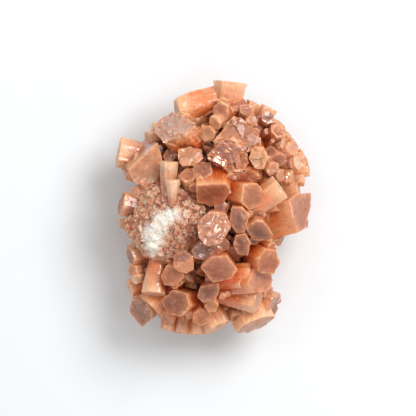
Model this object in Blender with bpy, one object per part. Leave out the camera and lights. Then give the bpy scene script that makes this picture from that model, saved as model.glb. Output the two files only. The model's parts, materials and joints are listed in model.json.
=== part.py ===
"""A palm-sized aragonite star cluster: blunt six-sided crystals that grew outwards from one heart.

The specimen lies on a table. +Z is up, towards whoever looks down on it, +Y is the long way of the
specimen and +X is to the right. The origin is on the table under the middle of the specimen.
Every crystal is a flared six-sided prism with a flat end, and all of them have grown into one solid.
"""

import math
import random
from collections import namedtuple

import bmesh
import bpy
from mathutils import Matrix, Vector

MM = 0.001
NODE = "aragonite_cluster"

# The middle of the outline seen from above, in the millimetres that the crystals below are placed in.
MIDDLE = (0.12, 0.19)

# The height of the table top in those millimetres, which takes the lowest ends off flat.
TABLE_TOP = 3.0

# The heart that all crystals grow out of, an egg lying on its side, in millimetres.
HEART_MIDDLE = (-1.0, 0.0, 16.5)
HEART_HALF_SIZE = (13.5, 20.0, 11.0)

# The broken spot on the upper left, a rough bed that leans to the left, where the white middle shows.
CRUST_MIDDLE = (-9.9, -2.9, 22.4)
CRUST_HALF_SIZE = (9.3, 9.0, 4.0)
CRUST_LEAN = 27.0
CRUST_ROUGHNESS = 0.05
CRUST_GRAINS = 72
GRAIN_WIDTH = (1.2, 2.5)
GRAIN_SQUASH = (0.7, 1.0)
GRAIN_HEIGHT = (0.15, 0.9)
GRAIN_LENGTH = 3.4
GRAIN_ROOT = 0.9
GRAIN_LEAN = 24.0
RIM_LEAN = 50.0

# The white lumps along the bed, from its lower left to its upper right: x and y in the bed, and half size.
WHITE_SINK = 0.3
WHITE_FLATNESS = 0.8
WHITE_ROUGHNESS = 0.14
WHITE_LUMPS = (
    (-1.3, -5.0, 1.9), (-0.8, -3.4, 2.2), (-1.2, -1.8, 1.7), (0.6, -1.4, 1.9), (1.6, 0.2, 1.9),
    (2.8, 1.2, 1.7), (4.2, 1.6, 1.3), (0.4, 0.8, 1.5), (-2.4, -3.0, 1.3),
)

# Crystals that fill the space between those below, spread evenly by a spiral from top to bottom.
FILL_CRYSTALS = 96
FILL_MIDDLE_Z = 16.8
FILL_RISE = 16.3
FILL_LENGTH = 12.0
FILL_ROOT = 0.6
FILL_TURN = 12.0
FILL_LEAN = 8.0
FILL_SQUASH = (0.75, 1.0)
LOW_REACH = (0.88, 0.99)
LOW_WIDTH = (4.4, 8.0)

# Those that rise more than this are lower and thinner, so that they only show in the gaps.
TOP_RISE = 0.2
TOP_REACH = (0.71, 0.79)
TOP_WIDTH = (3.0, 4.8)

GOLDEN_ANGLE = 137.508
STEEPEST = 89.0
CORNER_WOBBLE = 0.07
CUTTER_SIZE = 120.0
SEED = 11

# A crystal whose side shows more than its end.
# tip: middle of the flat end, in millimetres.
# aim: the way it points, as degrees round from +X and degrees above the table.
# across: width of the end along the table and at right angles to that, in millimetres.
# length: from end to root. root: width at the root as a share of the width at the end.
Crystal = namedtuple("Crystal", "name tip aim across length root roll", defaults=(0,))

CRYSTALS = (
    Crystal("north_fan", (3.8, 26.9, 20.0), (83, -2), (7.4, 5.0), 12, 0.4),
    Crystal("north_fan_chip", (2.7, 23.6, 22.4), (75, 12), (2.4, 2.0), 7, 0.6),
    Crystal("north_loaf", (-7.8, 20.7, 19.6), (194, 12), (6.5, 6.3), 12, 1.2, 20),
    Crystal("north_loaf_back", (-1.5, 24.9, 16.5), (103, 8), (5.4, 4.6), 10, 0.9),
    Crystal("north_west_foot", (-13.2, 16.9, 17.0), (165, 12), (3.8, 3.4), 9, 0.8),
    Crystal("north_west_plate", (-13.9, 14.7, 18.5), (195, 25), (3.6, 3.2), 9, 0.8),
    Crystal("west_fan", (-20.2, 12.1, 15.0), (169, 5), (6.5, 5.2), 13, 0.75),
    Crystal("west_fan_foot", (-19.0, 7.4, 13.0), (212, 0), (4.0, 3.6), 10, 0.8),
    Crystal("saddle_low", (-0.9, 12.6, 24.0), (200, 70), (2.8, 2.8), 9, 0.9),
    Crystal("north_cup", (-1.2, 15.7, 27.0), (205, 68), (3.7, 3.7), 12, 0.8, 15),
    Crystal("north_roll", (0.3, 17.8, 27.4), (215, 48), (3.4, 3.0), 11, 0.9),
    Crystal("north_button", (1.7, 20.5, 26.6), (230, 74), (3.7, 3.6), 12, 0.8, 10),
    Crystal("north_east_nub", (7.3, 21.0, 24.5), (60, 60), (3.8, 3.4), 11, 0.8),
    Crystal("north_east_bead", (8.5, 18.5, 26.0), (30, 60), (2.9, 2.7), 10, 0.9),
    Crystal("north_east_fin", (8.9, 22.6, 19.0), (64, 2), (3.3, 3.2), 11, 0.8),
    Crystal("north_east_comb", (12.0, 21.5, 18.5), (62, 0), (4.1, 3.6), 12, 0.75),
    Crystal("north_east_rose", (11.8, 19.3, 22.5), (50, 65), (3.2, 3.0), 11, 0.85),
    Crystal("east_ring", (14.0, 16.5, 22.5), (45, 55), (3.5, 3.3), 11, 0.85),
    Crystal("east_ring_foot", (14.5, 17.9, 19.0), (47, 18), (3.4, 3.4), 12, 0.8),
    Crystal("east_step", (16.2, 15.7, 18.0), (42, 12), (3.2, 3.2), 12, 0.8),
    Crystal("east_crest", (17.7, 14.0, 18.0), (36, 10), (3.9, 3.8), 12, 0.85),
    Crystal("east_crest_top", (17.0, 12.6, 21.5), (28, 32), (3.8, 3.4), 12, 0.85),
    Crystal("east_shelf", (19.5, 11.5, 17.5), (26, 8), (3.5, 3.6), 12, 0.85),
    Crystal("east_shelf_top", (18.3, 9.8, 21.5), (10, 34), (3.6, 3.4), 12, 0.85),
    Crystal("east_wall", (20.6, 8.8, 16.5), (10, 5), (3.9, 3.8), 13, 0.85),
    Crystal("east_wall_foot", (19.6, 6.2, 17.0), (0, 4), (3.2, 3.4), 13, 0.85),
    Crystal("east_well", (13.8, 10.0, 23.5), (300, 60), (3.9, 3.4), 11, 0.9),
    Crystal("east_well_back", (12.2, 12.0, 23.5), (100, 60), (2.9, 2.7), 11, 0.9),
    Crystal("east_curl", (12.8, 8.2, 25.5), (330, 58), (3.1, 2.9), 12, 0.85),
    Crystal("east_curl_foot", (14.6, 6.9, 24.0), (340, 45), (2.7, 2.6), 12, 0.85),
    Crystal("east_layers", (17.2, 6.6, 20.5), (0, 14), (4.0, 3.6), 12, 0.85),
    Crystal("ridge_lip", (0.9, 8.9, 27.4), (241, 8), (5.6, 4.6), 10, 0.85),
    Crystal("ridge_hem", (6.4, 6.3, 28.8), (275, 52), (7.0, 4.4), 12, 0.9),
    Crystal("ridge_rose", (6.1, 9.9, 30.2), (255, 72), (2.9, 4.4), 12, 0.9),
    Crystal("ridge_petal", (9.7, 10.4, 30.6), (270, 80), (4.3, 5.8), 14, 0.8),
    Crystal("east_drum_under", (15.6, -5.4, 15.5), (-22, 8), (5.4, 5.0), 13, 0.85),
    Crystal("east_wedge", (18.6, 3.6, 17.5), (6, 8), (5.0, 4.8), 14, 0.85),
    Crystal("east_prism", (14.3, 4.6, 27.2), (35, 5), (5.6, 4.8), 11, 0.85),
    Crystal("east_chip", (13.2, -7.6, 18.5), (305, 18), (3.2, 2.8), 11, 0.9),
    Crystal("east_brick", (9.6, -1.6, 28.0), (300, 60), (3.6, 3.2), 12, 0.9, 30),
    Crystal("middle_tiles", (-5.1, 7.2, 27.6), (95, 55), (3.9, 3.7), 12, 0.85),
    Crystal("crust_post", (-9.2, 10.1, 26.0), (87, 6), (3.9, 3.0), 8, 0.6),
    Crystal("crust_wedge", (-8.3, 6.2, 27.8), (89, 8), (3.4, 2.6), 6, 0.4),
    Crystal("plum_low", (2.1, -7.7, 29.0), (280, 75), (3.1, 3.1), 12, 0.9),
    Crystal("south_east_amber", (8.6, -14.3, 25.6), (3, 13), (5.8, 5.0), 10, 0.95),
    Crystal("south_east_steps", (9.6, -19.7, 23.0), (345, 22), (5.6, 5.0), 12, 0.9),
    Crystal("south_east_toe", (9.3, -24.9, 18.6), (293, 22), (9.0, 6.2), 15, 0.9),
    Crystal("south_east_flank", (13.1, -20.9, 17.5), (335, 25), (6.0, 5.4), 13, 0.85),
    Crystal("south_stub", (-0.2, -20.8, 26.0), (275, 60), (3.2, 3.1), 12, 0.9),
    Crystal("south_dark", (5.4, -23.2, 19.4), (290, 35), (3.0, 2.8), 11, 0.9),
    Crystal("south_granule", (2.1, -18.7, 25.4), (280, 70), (1.5, 1.3), 5, 0.9),
    Crystal("south_granule_low", (3.3, -18.2, 25.0), (320, 65), (1.3, 1.3), 5, 0.9),
    Crystal("south_cream", (1.6, -25.3, 17.0), (298, 10), (7.0, 5.0), 12, 0.8),
    Crystal("south_tooth", (-3.1, -26.9, 14.0), (270, 0), (4.6, 4.4), 13, 0.85),
    Crystal("south_tooth_left", (-6.7, -26.7, 14.5), (262, 2), (3.9, 3.8), 13, 0.85),
    Crystal("south_tooth_last", (-9.7, -26.0, 15.0), (260, 4), (3.5, 3.4), 12, 0.85),
    Crystal("south_amber", (-10.2, -23.4, 19.0), (240, 22), (4.1, 4.0), 12, 0.9),
    Crystal("south_west_tusk", (-12.6, -18.4, 22.8), (262, 14), (5.0, 4.8), 11, 0.65),
    Crystal("west_beak", (-19.6, 1.1, 21.2), (168, 14), (5.8, 5.2), 13, 0.9, 20),
    Crystal("west_beak_back", (-16.8, 3.5, 22.0), (150, 40), (3.2, 3.4), 12, 0.9),
    Crystal("west_splinter", (-20.0, -3.2, 15.0), (186, 2), (2.3, 2.2), 11, 0.9),
    Crystal("west_splinter_low", (-18.9, -4.5, 14.0), (198, 0), (2.1, 2.0), 11, 1.1),
    Crystal("west_cheek", (-17.7, -10.3, 18.4), (195, 15), (4.8, 4.8), 13, 0.9),
    Crystal("west_pale", (-17.2, -13.2, 19.0), (190, 40), (3.3, 3.0), 12, 0.9),
    Crystal("west_pale_bead", (-16.3, -15.2, 19.6), (225, 60), (2.3, 2.8), 10, 0.9),
    Crystal("west_toe", (-17.9, -17.2, 15.0), (200, 10), (4.2, 4.0), 13, 0.9),
    Crystal("foot_south_west", (-8.8, -13.8, -0.6), (238, -64), (6.0, 5.4), 14, 0.7),
    Crystal("foot_south_east", (6.6, -13.0, -0.6), (300, -64), (5.6, 5.2), 14, 0.7),
    Crystal("foot_north_east", (9.4, 8.0, -0.6), (43, -62), (5.8, 5.4), 14, 0.7),
    Crystal("foot_north_west", (-9.2, 9.4, -0.6), (133, -62), (5.4, 5.2), 14, 0.7),
    Crystal("foot_north", (0.8, 15.6, -0.5), (88, -60), (5.2, 5.0), 14, 0.7),
)

# A crystal whose end shows in full.
# corners: the end's corners seen from straight above, x and y in millimetres.
# height: of the middle of the end. aim, length and root are as above.
Tablet = namedtuple("Tablet", "name corners height aim length root")

TABLETS = (
    Tablet("summit", ((3.8, -3.9), (2.8, -1.0), (-0.6, -0.6), (-3.2, -2.9), (-3.0, -5.9), (-1.0, -8.0),
                      (1.8, -7.5)), 33.6, (250, 80), 16, 0.7),
    Tablet("summit_side", ((4.0, 0.1), (6.2, 0.1), (7.6, -1.5), (6.7, -5.0), (5.0, -5.2), (3.6, -3.0)),
           32.6, (265, 80), 16, 0.8),
    Tablet("smoky_eye", ((7.1, -4.2), (9.3, -2.7), (10.7, -3.0), (12.7, -5.7), (11.8, -6.9), (8.6, -6.8)),
           31.0, (285, 68), 15, 0.8),
    Tablet("plum", ((4.9, -5.7), (6.9, -5.4), (7.8, -7.3), (7.4, -9.8), (5.3, -9.7), (4.4, -7.7)),
           31.0, (270, 75), 15, 0.85),
    Tablet("great_tablet", ((-2.4, -12.4), (-0.2, -10.3), (3.0, -10.0), (5.2, -12.9), (3.8, -14.8),
                            (0.0, -15.6)), 32.6, (275, 78), 17, 0.75),
    Tablet("south_east_knob", ((9.5, -11.1), (11.1, -8.6), (13.3, -8.9), (14.3, -11.3), (12.9, -13.8),
                               (9.8, -13.5)), 28.5, (330, 58), 15, 0.8),
    Tablet("south_east_cheek", ((7.4, -15.9), (9.0, -12.5), (12.5, -13.8), (12.8, -15.3), (11.5, -17.5),
                                (8.4, -17.8)), 26.0, (5, 42), 14, 0.9),
    Tablet("south_stamp", ((-2.6, -16.6), (1.2, -15.8), (1.3, -17.4), (0.6, -19.2), (-2.0, -19.9),
                           (-3.3, -18.7)), 28.6, (250, 75), 13, 0.85),
    Tablet("south_button", ((-4.1, -22.5), (-2.5, -21.2), (-0.4, -22.4), (-0.6, -24.0), (-2.4, -25.0),
                            (-4.1, -24.1)), 23.6, (285, 60), 13, 0.85),
    Tablet("south_west_disc", ((-10.8, -19.4), (-8.6, -17.3), (-5.6, -18.0), (-4.9, -20.6), (-7.0, -22.8),
                               (-9.7, -22.2)), 26.4, (190, 66), 15, 0.85),
    Tablet("south_west_knob", ((-17.3, -19.5), (-14.5, -19.3), (-13.0, -21.7), (-13.2, -23.8),
                               (-15.0, -25.4), (-18.0, -22.2)), 18.5, (222, 50), 15, 0.85),
    Tablet("crust_table", ((-8.1, -12.5), (-4.2, -10.1), (-4.0, -12.9), (-5.5, -13.8), (-7.0, -13.3)),
           29.0, (300, 72), 13, 0.85),
    Tablet("crust_table_top", ((-8.1, -12.5), (-8.2, -9.8), (-6.0, -8.7), (-4.2, -10.1)),
           29.3, (130, 74), 13, 0.85),
    Tablet("crust_foot", ((-10.9, -14.5), (-9.8, -12.2), (-6.6, -12.8), (-6.1, -14.6), (-8.0, -16.4),
                          (-10.3, -16.2)), 27.0, (230, 66), 13, 0.85),
    Tablet("middle_boss", ((6.2, 1.2), (8.0, -0.5), (10.3, 0.8), (11.2, 3.2), (9.7, 5.2), (6.8, 5.0)),
           30.6, (345, 54), 14, 0.9),
    Tablet("middle_tent", ((-3.4, 4.6), (2.7, 5.1), (3.8, 3.8), (2.4, 1.2), (-0.4, 0.4), (-3.2, 1.2)),
           29.6, (268, 55), 13, 0.9),
    Tablet("east_drum", ((16.3, 1.7), (18.0, 3.1), (21.1, 3.3), (20.9, 0.4), (19.6, -4.2), (18.1, -5.1),
                         (17.2, -2.2)), 21.2, (15, 32), 15, 0.9),
    Tablet("north_west_block", ((-12.8, 17.0), (-10.9, 19.6), (-8.8, 20.7), (-4.7, 19.0), (-4.0, 17.3),
                                (-6.0, 15.4), (-10.6, 13.9)), 25.0, (138, 42), 15, 0.95),
    Tablet("saddle", ((-7.5, 10.6), (-7.3, 12.5), (-4.8, 13.2), (-2.3, 12.5), (-1.9, 10.6), (-4.0, 9.2),
                      (-6.3, 9.2)), 26.6, (100, 72), 13, 0.9),
    Tablet("west_nook", ((-10.6, 11.0), (-9.7, 12.5), (-8.2, 12.4), (-7.6, 11.2), (-8.6, 10.2),
                         (-9.9, 10.1)), 23.0, (120, 72), 11, 0.9),
    Tablet("west_slab", ((-11.6, 13.7), (-10.9, 11.5), (-10.4, 8.7), (-11.6, 5.6), (-14.4, 4.5),
                         (-16.6, 5.7), (-17.6, 8.1)), 23.4, (312, 76), 12, 0.9),
    Tablet("ridge_crown", ((0.4, 13.8), (1.7, 16.0), (3.4, 18.8), (4.8, 19.6), (7.4, 18.4), (9.6, 16.4),
                           (10.4, 14.4), (10.0, 12.6), (5.6, 11.6), (2.4, 12.0)), 29.2, (66, 74), 15, 0.85),
    Tablet("ridge_face", ((-1.4, 10.4), (0.5, 13.9), (3.9, 14.6), (6.3, 12.6), (5.8, 9.8), (3.6, 8.0),
                          (0.8, 8.6)), 29.8, (236, 64), 14, 0.9),
    Tablet("crust_glint", ((-4.4, -8.6), (-2.6, -7.2), (0.4, -7.5), (2.3, -8.6), (1.5, -10.1),
                           (-1.0, -11.0), (-4.1, -10.6)), 29.7, (258, 70), 12, 0.9),
)

# How far crystals may reach from the middle, by degrees round from +X.
WAIST = (
    (0, 19.0), (35, 20.5), (60, 22.0), (90, 23.0), (115, 20.5), (135, 19.0), (150, 21.0),
    (165, 17.0), (185, 18.0), (210, 20.0), (235, 26.0), (262, 25.0), (275, 24.5), (290, 25.5),
    (305, 21.0), (320, 15.5), (335, 15.5), (360, 19.0),
)


def direction(around, above):
    """Unit vector that points a number of degrees round from +X and above the table."""
    turn, lift = math.radians(around), math.radians(above)
    return Vector((math.cos(turn) * math.cos(lift), math.sin(turn) * math.cos(lift), math.sin(lift)))


def placing(tip, around, above):
    """Matrix that carries an upright crystal, its end at the origin, to its tip and its aim."""
    along = direction(around, above)
    across = Vector((-math.sin(math.radians(around)), math.cos(math.radians(around)), 0.0))
    rising = along.cross(across)
    turned = Matrix((across, rising, along)).transposed().to_4x4()
    return Matrix.Translation(Vector(tip) * MM) @ turned


def keep(name, shape, collection):
    """Puts a finished shape into the collection as an object."""
    mesh = bpy.data.meshes.new(name)
    shape.to_mesh(mesh)
    shape.free()
    collection.objects.link(bpy.data.objects.new(name, mesh))


def add_crystal(collection, crystal, chance):
    """One flared six-sided prism with a flat end and corners that are a little uneven."""
    shape = bmesh.new()
    bmesh.ops.create_cone(
        shape, cap_ends=True, segments=6, radius1=0.5 * crystal.root, radius2=0.5, depth=1.0,
        matrix=Matrix.Translation((0.0, 0.0, -0.5)) @ Matrix.Rotation(math.radians(crystal.roll - 90), 4, "Z"),
    )
    wobble = [1.0 + chance.uniform(-CORNER_WOBBLE, CORNER_WOBBLE) for _ in range(6)]
    for vertex in shape.verts:
        corner = round((math.degrees(math.atan2(vertex.co.y, vertex.co.x)) - crystal.roll) / 60.0) % 6
        vertex.co.xy *= wobble[corner]
    size = Vector((crystal.across[0], crystal.across[1], crystal.length)) * MM
    bmesh.ops.scale(shape, vec=size, verts=shape.verts)
    bmesh.ops.transform(shape, matrix=placing(crystal.tip, *crystal.aim), verts=shape.verts)
    keep(crystal.name, shape, collection)


def add_tablet(collection, tablet):
    """One prism whose flat end has the corners that are seen from above, drawn back to its root."""
    along = direction(*tablet.aim)
    count = len(tablet.corners)
    middle = Vector((sum(x for x, _ in tablet.corners) / count, sum(y for _, y in tablet.corners) / count))
    shape = bmesh.new()
    ring = []
    for x, y in tablet.corners:
        drop = (along.x * (x - middle.x) + along.y * (y - middle.y)) / along.z
        ring.append(shape.verts.new(Vector((x, y, tablet.height - drop)) * MM))
    end = shape.faces.new(ring)
    grown = bmesh.ops.extrude_face_region(shape, geom=[end])
    root = [item for item in grown["geom"] if isinstance(item, bmesh.types.BMVert)]
    centre = Vector((middle.x, middle.y, tablet.height)) * MM
    bmesh.ops.scale(shape, vec=Vector.Fill(3, tablet.root), verts=root, space=Matrix.Translation(-centre))
    bmesh.ops.translate(shape, vec=-along * tablet.length * MM, verts=root)
    bmesh.ops.recalc_face_normals(shape, faces=shape.faces)
    keep(tablet.name, shape, collection)


def waist_reach(around):
    """How far a crystal may reach from the middle at the waist, read from WAIST."""
    for (start, near), (end, far) in zip(WAIST, WAIST[1:]):
        if start <= around <= end:
            return near + (far - near) * (around - start) / (end - start)
    raise ValueError(around)


def on_crust(x, y):
    """True over the broken spot, seen from above."""
    across = (x - CRUST_MIDDLE[0]) / CRUST_HALF_SIZE[0]
    along = (y - CRUST_MIDDLE[1]) / CRUST_HALF_SIZE[1]
    return across * across + along * along < 1.0


def fill_crystals(chance):
    """Crystals all around the heart, each aimed away from it. Those on top stay lower than the rows above."""
    for index in range(FILL_CRYSTALS):
        rise = 1.0 - 2.0 * (index + 0.5) / FILL_CRYSTALS
        around = (index * GOLDEN_ANGLE) % 360.0
        on_top = rise > TOP_RISE
        reach = chance.uniform(*(TOP_REACH if on_top else LOW_REACH))
        flat = math.sqrt(1.0 - rise * rise) * waist_reach(around) * reach
        x, y = flat * math.cos(math.radians(around)), flat * math.sin(math.radians(around))
        height = FILL_MIDDLE_Z + FILL_RISE * rise * reach
        width = chance.uniform(*(TOP_WIDTH if on_top else LOW_WIDTH))
        turn = around + chance.uniform(-FILL_TURN, FILL_TURN)
        lift = math.degrees(math.asin(rise)) + chance.uniform(-FILL_LEAN, FILL_LEAN)
        across = (width, width * chance.uniform(*FILL_SQUASH))
        roll = chance.uniform(0, 60)
        if rise > 0.0 and on_crust(x, y):
            continue
        aim = (turn, max(-STEEPEST, min(STEEPEST, lift)))
        yield Crystal(f"fill_{index:02d}", (x, y, height), aim, across, FILL_LENGTH, FILL_ROOT, roll)


def crust_frame():
    """Matrix from the crust bed's own millimetres to the specimen's."""
    return Matrix.Translation(CRUST_MIDDLE) @ Matrix.Rotation(-math.radians(CRUST_LEAN), 4, "Y")


def crust_grains(chance):
    """Small crystals that stand on the broken spot."""
    frame = crust_frame()
    for index in range(CRUST_GRAINS):
        turn = math.radians(index * GOLDEN_ANGLE)
        out = math.sqrt((index + 0.5) / CRUST_GRAINS)
        u, v = CRUST_HALF_SIZE[0] * out * math.cos(turn), CRUST_HALF_SIZE[1] * out * math.sin(turn)
        top = CRUST_HALF_SIZE[2] * math.sqrt(1.0 - out * out) + chance.uniform(*GRAIN_HEIGHT)
        lean = RIM_LEAN * out + chance.uniform(-GRAIN_LEAN, GRAIN_LEAN)
        way = frame.to_3x3() @ direction(math.degrees(turn), 90.0 - lean)
        aim = (math.degrees(math.atan2(way.y, way.x)), math.degrees(math.asin(way.z)))
        width = chance.uniform(*GRAIN_WIDTH)
        across = (width, width * chance.uniform(*GRAIN_SQUASH))
        tip = frame @ Vector((u, v, top))
        yield Crystal(f"grain_{index:02d}", tip, aim, across, GRAIN_LENGTH, GRAIN_ROOT, chance.uniform(0, 60))


def add_lump(collection, name, middle, half_size, roughness, chance, frame=Matrix.Identity(4)):
    """A rounded solid whose points are moved in and out by a share of its size."""
    shape = bmesh.new()
    bmesh.ops.create_icosphere(shape, subdivisions=2, radius=1.0)
    for vertex in shape.verts:
        vertex.co *= 1.0 + chance.uniform(-roughness, roughness)
    bmesh.ops.scale(shape, vec=Vector(half_size), verts=shape.verts)
    place = Matrix.Scale(MM, 4) @ frame @ Matrix.Translation(middle)
    bmesh.ops.transform(shape, matrix=place, verts=shape.verts)
    keep(name, shape, collection)


def add_crust(collection, chance):
    """The bed of the broken spot with its white lumps and its grains."""
    frame = crust_frame()
    add_lump(collection, "crust_bed", (0.0, 0.0, 0.0), CRUST_HALF_SIZE, CRUST_ROUGHNESS, chance, frame)
    for index, (u, v, half) in enumerate(WHITE_LUMPS):
        middle = (u, v, CRUST_HALF_SIZE[2] - WHITE_SINK)
        size = (half, half, WHITE_FLATNESS * half)
        add_lump(collection, f"white_{index}", middle, size, WHITE_ROUGHNESS, chance, frame)
    for grain in crust_grains(chance):
        add_crystal(collection, grain, chance)


def table_cutter(collection):
    """The block below the table top, which takes the lowest ends off flat."""
    shape = bmesh.new()
    bmesh.ops.create_cube(shape, size=CUTTER_SIZE * MM)
    bmesh.ops.translate(shape, vec=(0.0, 0.0, (TABLE_TOP - 0.5 * CUTTER_SIZE) * MM), verts=shape.verts)
    keep("table_cutter", shape, collection)
    return collection.objects["table_cutter"]


def outer_shell(mesh):
    """Keeps the largest closed surface of a mesh, so that gaps sealed inside the growth are filled."""
    shape = bmesh.new()
    shape.from_mesh(mesh)
    unseen, shells = set(shape.verts), []
    while unseen:
        shell, edge = set(), [unseen.pop()]
        while edge:
            vertex = edge.pop()
            shell.add(vertex)
            for link in vertex.link_edges:
                other = link.other_vert(vertex)
                if other in unseen:
                    unseen.remove(other)
                    edge.append(other)
        shells.append(shell)
    shells.sort(key=len)
    for shell in shells[:-1]:
        bmesh.ops.delete(shape, geom=list(shell), context="VERTS")
    shape.to_mesh(mesh)
    shape.free()


def aragonite():
    """Orange-brown mineral with a low sheen."""
    material = bpy.data.materials.new("aragonite")
    material.use_nodes = True
    surface = material.node_tree.nodes["Principled BSDF"]
    surface.inputs["Base Color"].default_value = (0.56, 0.24, 0.12, 1.0)
    surface.inputs["Roughness"].default_value = 0.4
    surface.inputs["Metallic"].default_value = 0.0
    return material


def grow(collection):
    """All crystals and the crust, each still a solid of its own."""
    chance = random.Random(SEED)
    for crystal in CRYSTALS:
        add_crystal(collection, crystal, chance)
    for tablet in TABLETS:
        add_tablet(collection, tablet)
    for crystal in fill_crystals(chance):
        add_crystal(collection, crystal, chance)
    add_crust(collection, chance)


def build():
    for obj in list(bpy.data.objects):
        bpy.data.objects.remove(obj)
    scene = bpy.context.scene.collection
    growth = bpy.data.collections.new("growth")
    scene.children.link(growth)
    grow(growth)
    add_lump(scene, "heart", HEART_MIDDLE, HEART_HALF_SIZE, 0.0, random.Random(0))
    heart = scene.objects["heart"]
    union = heart.modifiers.new("grown together", "BOOLEAN")
    union.operation = "UNION"
    union.operand_type = "COLLECTION"
    union.collection = growth
    rest = heart.modifiers.new("rests on the table", "BOOLEAN")
    rest.operation = "DIFFERENCE"
    rest.object = table_cutter(scene)

    graph = bpy.context.evaluated_depsgraph_get()
    mesh = bpy.data.meshes.new_from_object(heart.evaluated_get(graph))
    mesh.name = NODE
    mesh.transform(Matrix.Translation(Vector((-MIDDLE[0], -MIDDLE[1], -TABLE_TOP)) * MM))
    outer_shell(mesh)
    mesh.materials.clear()
    mesh.materials.append(aragonite())
    cluster = bpy.data.objects.new(NODE, mesh)
    scene.objects.link(cluster)
    for obj in list(bpy.data.objects):
        if obj is not cluster:
            bpy.data.objects.remove(obj)


build()
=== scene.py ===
"""The looks of the aragonite star cluster: its crystals and its broken spot in detail, and a pale table.

Shapes are made in millimetres, with +Z up and the photo's upper edge towards +Y, and are carried into
the frame at the end. A crystal is first made upright, its end at height 0, and then put in its place.
"""

import json
import math
import random
from collections import namedtuple

import bmesh
import bpy
import numpy as np
from mathutils import Matrix, Vector, noise
from mathutils.bvhtree import BVHTree

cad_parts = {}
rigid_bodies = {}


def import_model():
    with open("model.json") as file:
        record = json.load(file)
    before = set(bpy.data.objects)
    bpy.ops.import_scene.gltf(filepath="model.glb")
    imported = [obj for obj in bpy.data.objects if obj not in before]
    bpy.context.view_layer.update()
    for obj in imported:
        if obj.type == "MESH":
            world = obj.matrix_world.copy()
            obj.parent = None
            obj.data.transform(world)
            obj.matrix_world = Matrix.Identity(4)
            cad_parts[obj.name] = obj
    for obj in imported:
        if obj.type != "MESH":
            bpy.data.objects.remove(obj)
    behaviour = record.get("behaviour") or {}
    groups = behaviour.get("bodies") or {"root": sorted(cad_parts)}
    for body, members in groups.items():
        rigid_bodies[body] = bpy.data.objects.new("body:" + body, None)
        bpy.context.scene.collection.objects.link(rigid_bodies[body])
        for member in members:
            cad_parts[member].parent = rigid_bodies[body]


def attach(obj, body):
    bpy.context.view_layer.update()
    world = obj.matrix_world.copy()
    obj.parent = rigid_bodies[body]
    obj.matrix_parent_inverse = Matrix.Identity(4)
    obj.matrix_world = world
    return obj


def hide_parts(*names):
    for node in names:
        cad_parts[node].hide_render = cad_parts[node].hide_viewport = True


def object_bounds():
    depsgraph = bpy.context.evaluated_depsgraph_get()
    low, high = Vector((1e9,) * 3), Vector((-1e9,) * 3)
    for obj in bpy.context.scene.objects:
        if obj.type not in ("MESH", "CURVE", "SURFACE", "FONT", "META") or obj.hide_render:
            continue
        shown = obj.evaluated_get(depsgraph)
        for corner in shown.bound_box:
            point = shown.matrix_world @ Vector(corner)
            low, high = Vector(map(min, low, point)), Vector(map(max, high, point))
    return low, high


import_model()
CAD_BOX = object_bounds()

# All places below are in millimetres. The frame has its origin at this middle and at the table top's height.
MM = 0.001
MIDDLE = (0.12, 0.19)
TABLE_TOP = 3.0

# The heart that all crystals grow out of, an egg lying on its side.
HEART_MIDDLE = (-1.0, 0.0, 16.5)
HEART_HALF_SIZE = (13.5, 20.0, 11.0)

# The broken spot on the upper left, a rough bed that leans to the left, where the white middle shows.
CRUST_MIDDLE = (-9.9, -2.9, 22.4)
CRUST_HALF_SIZE = (9.3, 9.0, 4.0)
CRUST_LEAN = 27.0
CRUST_ROUGHNESS = 0.05
CRUST_EDGE = 0.42
RUBBLE = 0.3

# Small crystals all over the bed. Those at its rim lean outwards by RIM_LEAN degrees.
CRUST_GRAINS = 72
GRAIN_WIDTH = (1.2, 2.5)
GRAIN_SQUASH = (0.7, 1.0)
GRAIN_HEIGHT = (0.15, 0.9)
GRAIN_SINK = 0.4
GRAIN_LENGTH = 3.4
GRAIN_ROOT = 0.9
GRAIN_LEAN = 24.0
RIM_LEAN = 50.0

# The white lumps along the bed, from its lower left to its upper right: x and y in the bed, and half size.
WHITE_LUMPS = (
    (-1.3, -5.0, 1.9), (-0.8, -3.4, 2.2), (-1.2, -1.8, 1.7), (0.6, -1.4, 1.9), (1.6, 0.2, 1.9),
    (2.8, 1.2, 1.7), (4.2, 1.6, 1.3), (0.4, 0.8, 1.5), (-2.4, -3.0, 1.3),
)
WHITE_SHARE = 0.74
WHITE_SINK = 0.3
WHITE_FLATNESS = 0.8
WHITE_ROUGHNESS = 0.14
WHITE_MESH_EDGE = 0.36

# How far the bed rises to its white middle, and how far the white fades out around the lumps.
WHITE_RISE = 0.9
WHITE_EDGE = 2.0

# Crystals that fill the space between those below, spread evenly by a spiral from top to bottom.
FILL_CRYSTALS = 96
FILL_MIDDLE_Z = 16.8
FILL_RISE = 16.3
FILL_LENGTH = 12.0
FILL_ROOT = 0.6
FILL_TURN = 12.0
FILL_LEAN = 8.0
FILL_SQUASH = (0.75, 1.0)
LOW_REACH = (0.88, 0.99)
LOW_WIDTH = (4.4, 8.0)

# Those that rise more than this are lower and thinner, so that they only show in the gaps.
TOP_RISE = 0.2
TOP_REACH = (0.71, 0.79)
TOP_WIDTH = (3.0, 4.8)

GOLDEN_ANGLE = 137.508
STEEPEST = 89.0
CORNER_WOBBLE = 0.07
CUTTER_SIZE = 120.0
SEED = 11

# Loose shells of less than this many cubic millimetres are dropped.
SLIVER = 0.01

# A crystal whose side shows more than its end.
# tip: middle of the flat end. aim: the way it points, as degrees round from +X and degrees above the table.
# across: width of the end along the table and at right angles to that.
# length: from end to root. root: width at the root as a share of the width at the end.
# roll: how far it is turned about its own length, in degrees.
# The five feet reach below the table top, which takes their ends off flat.
Crystal = namedtuple("Crystal", "name tip aim across length root roll", defaults=(0,))

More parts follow.
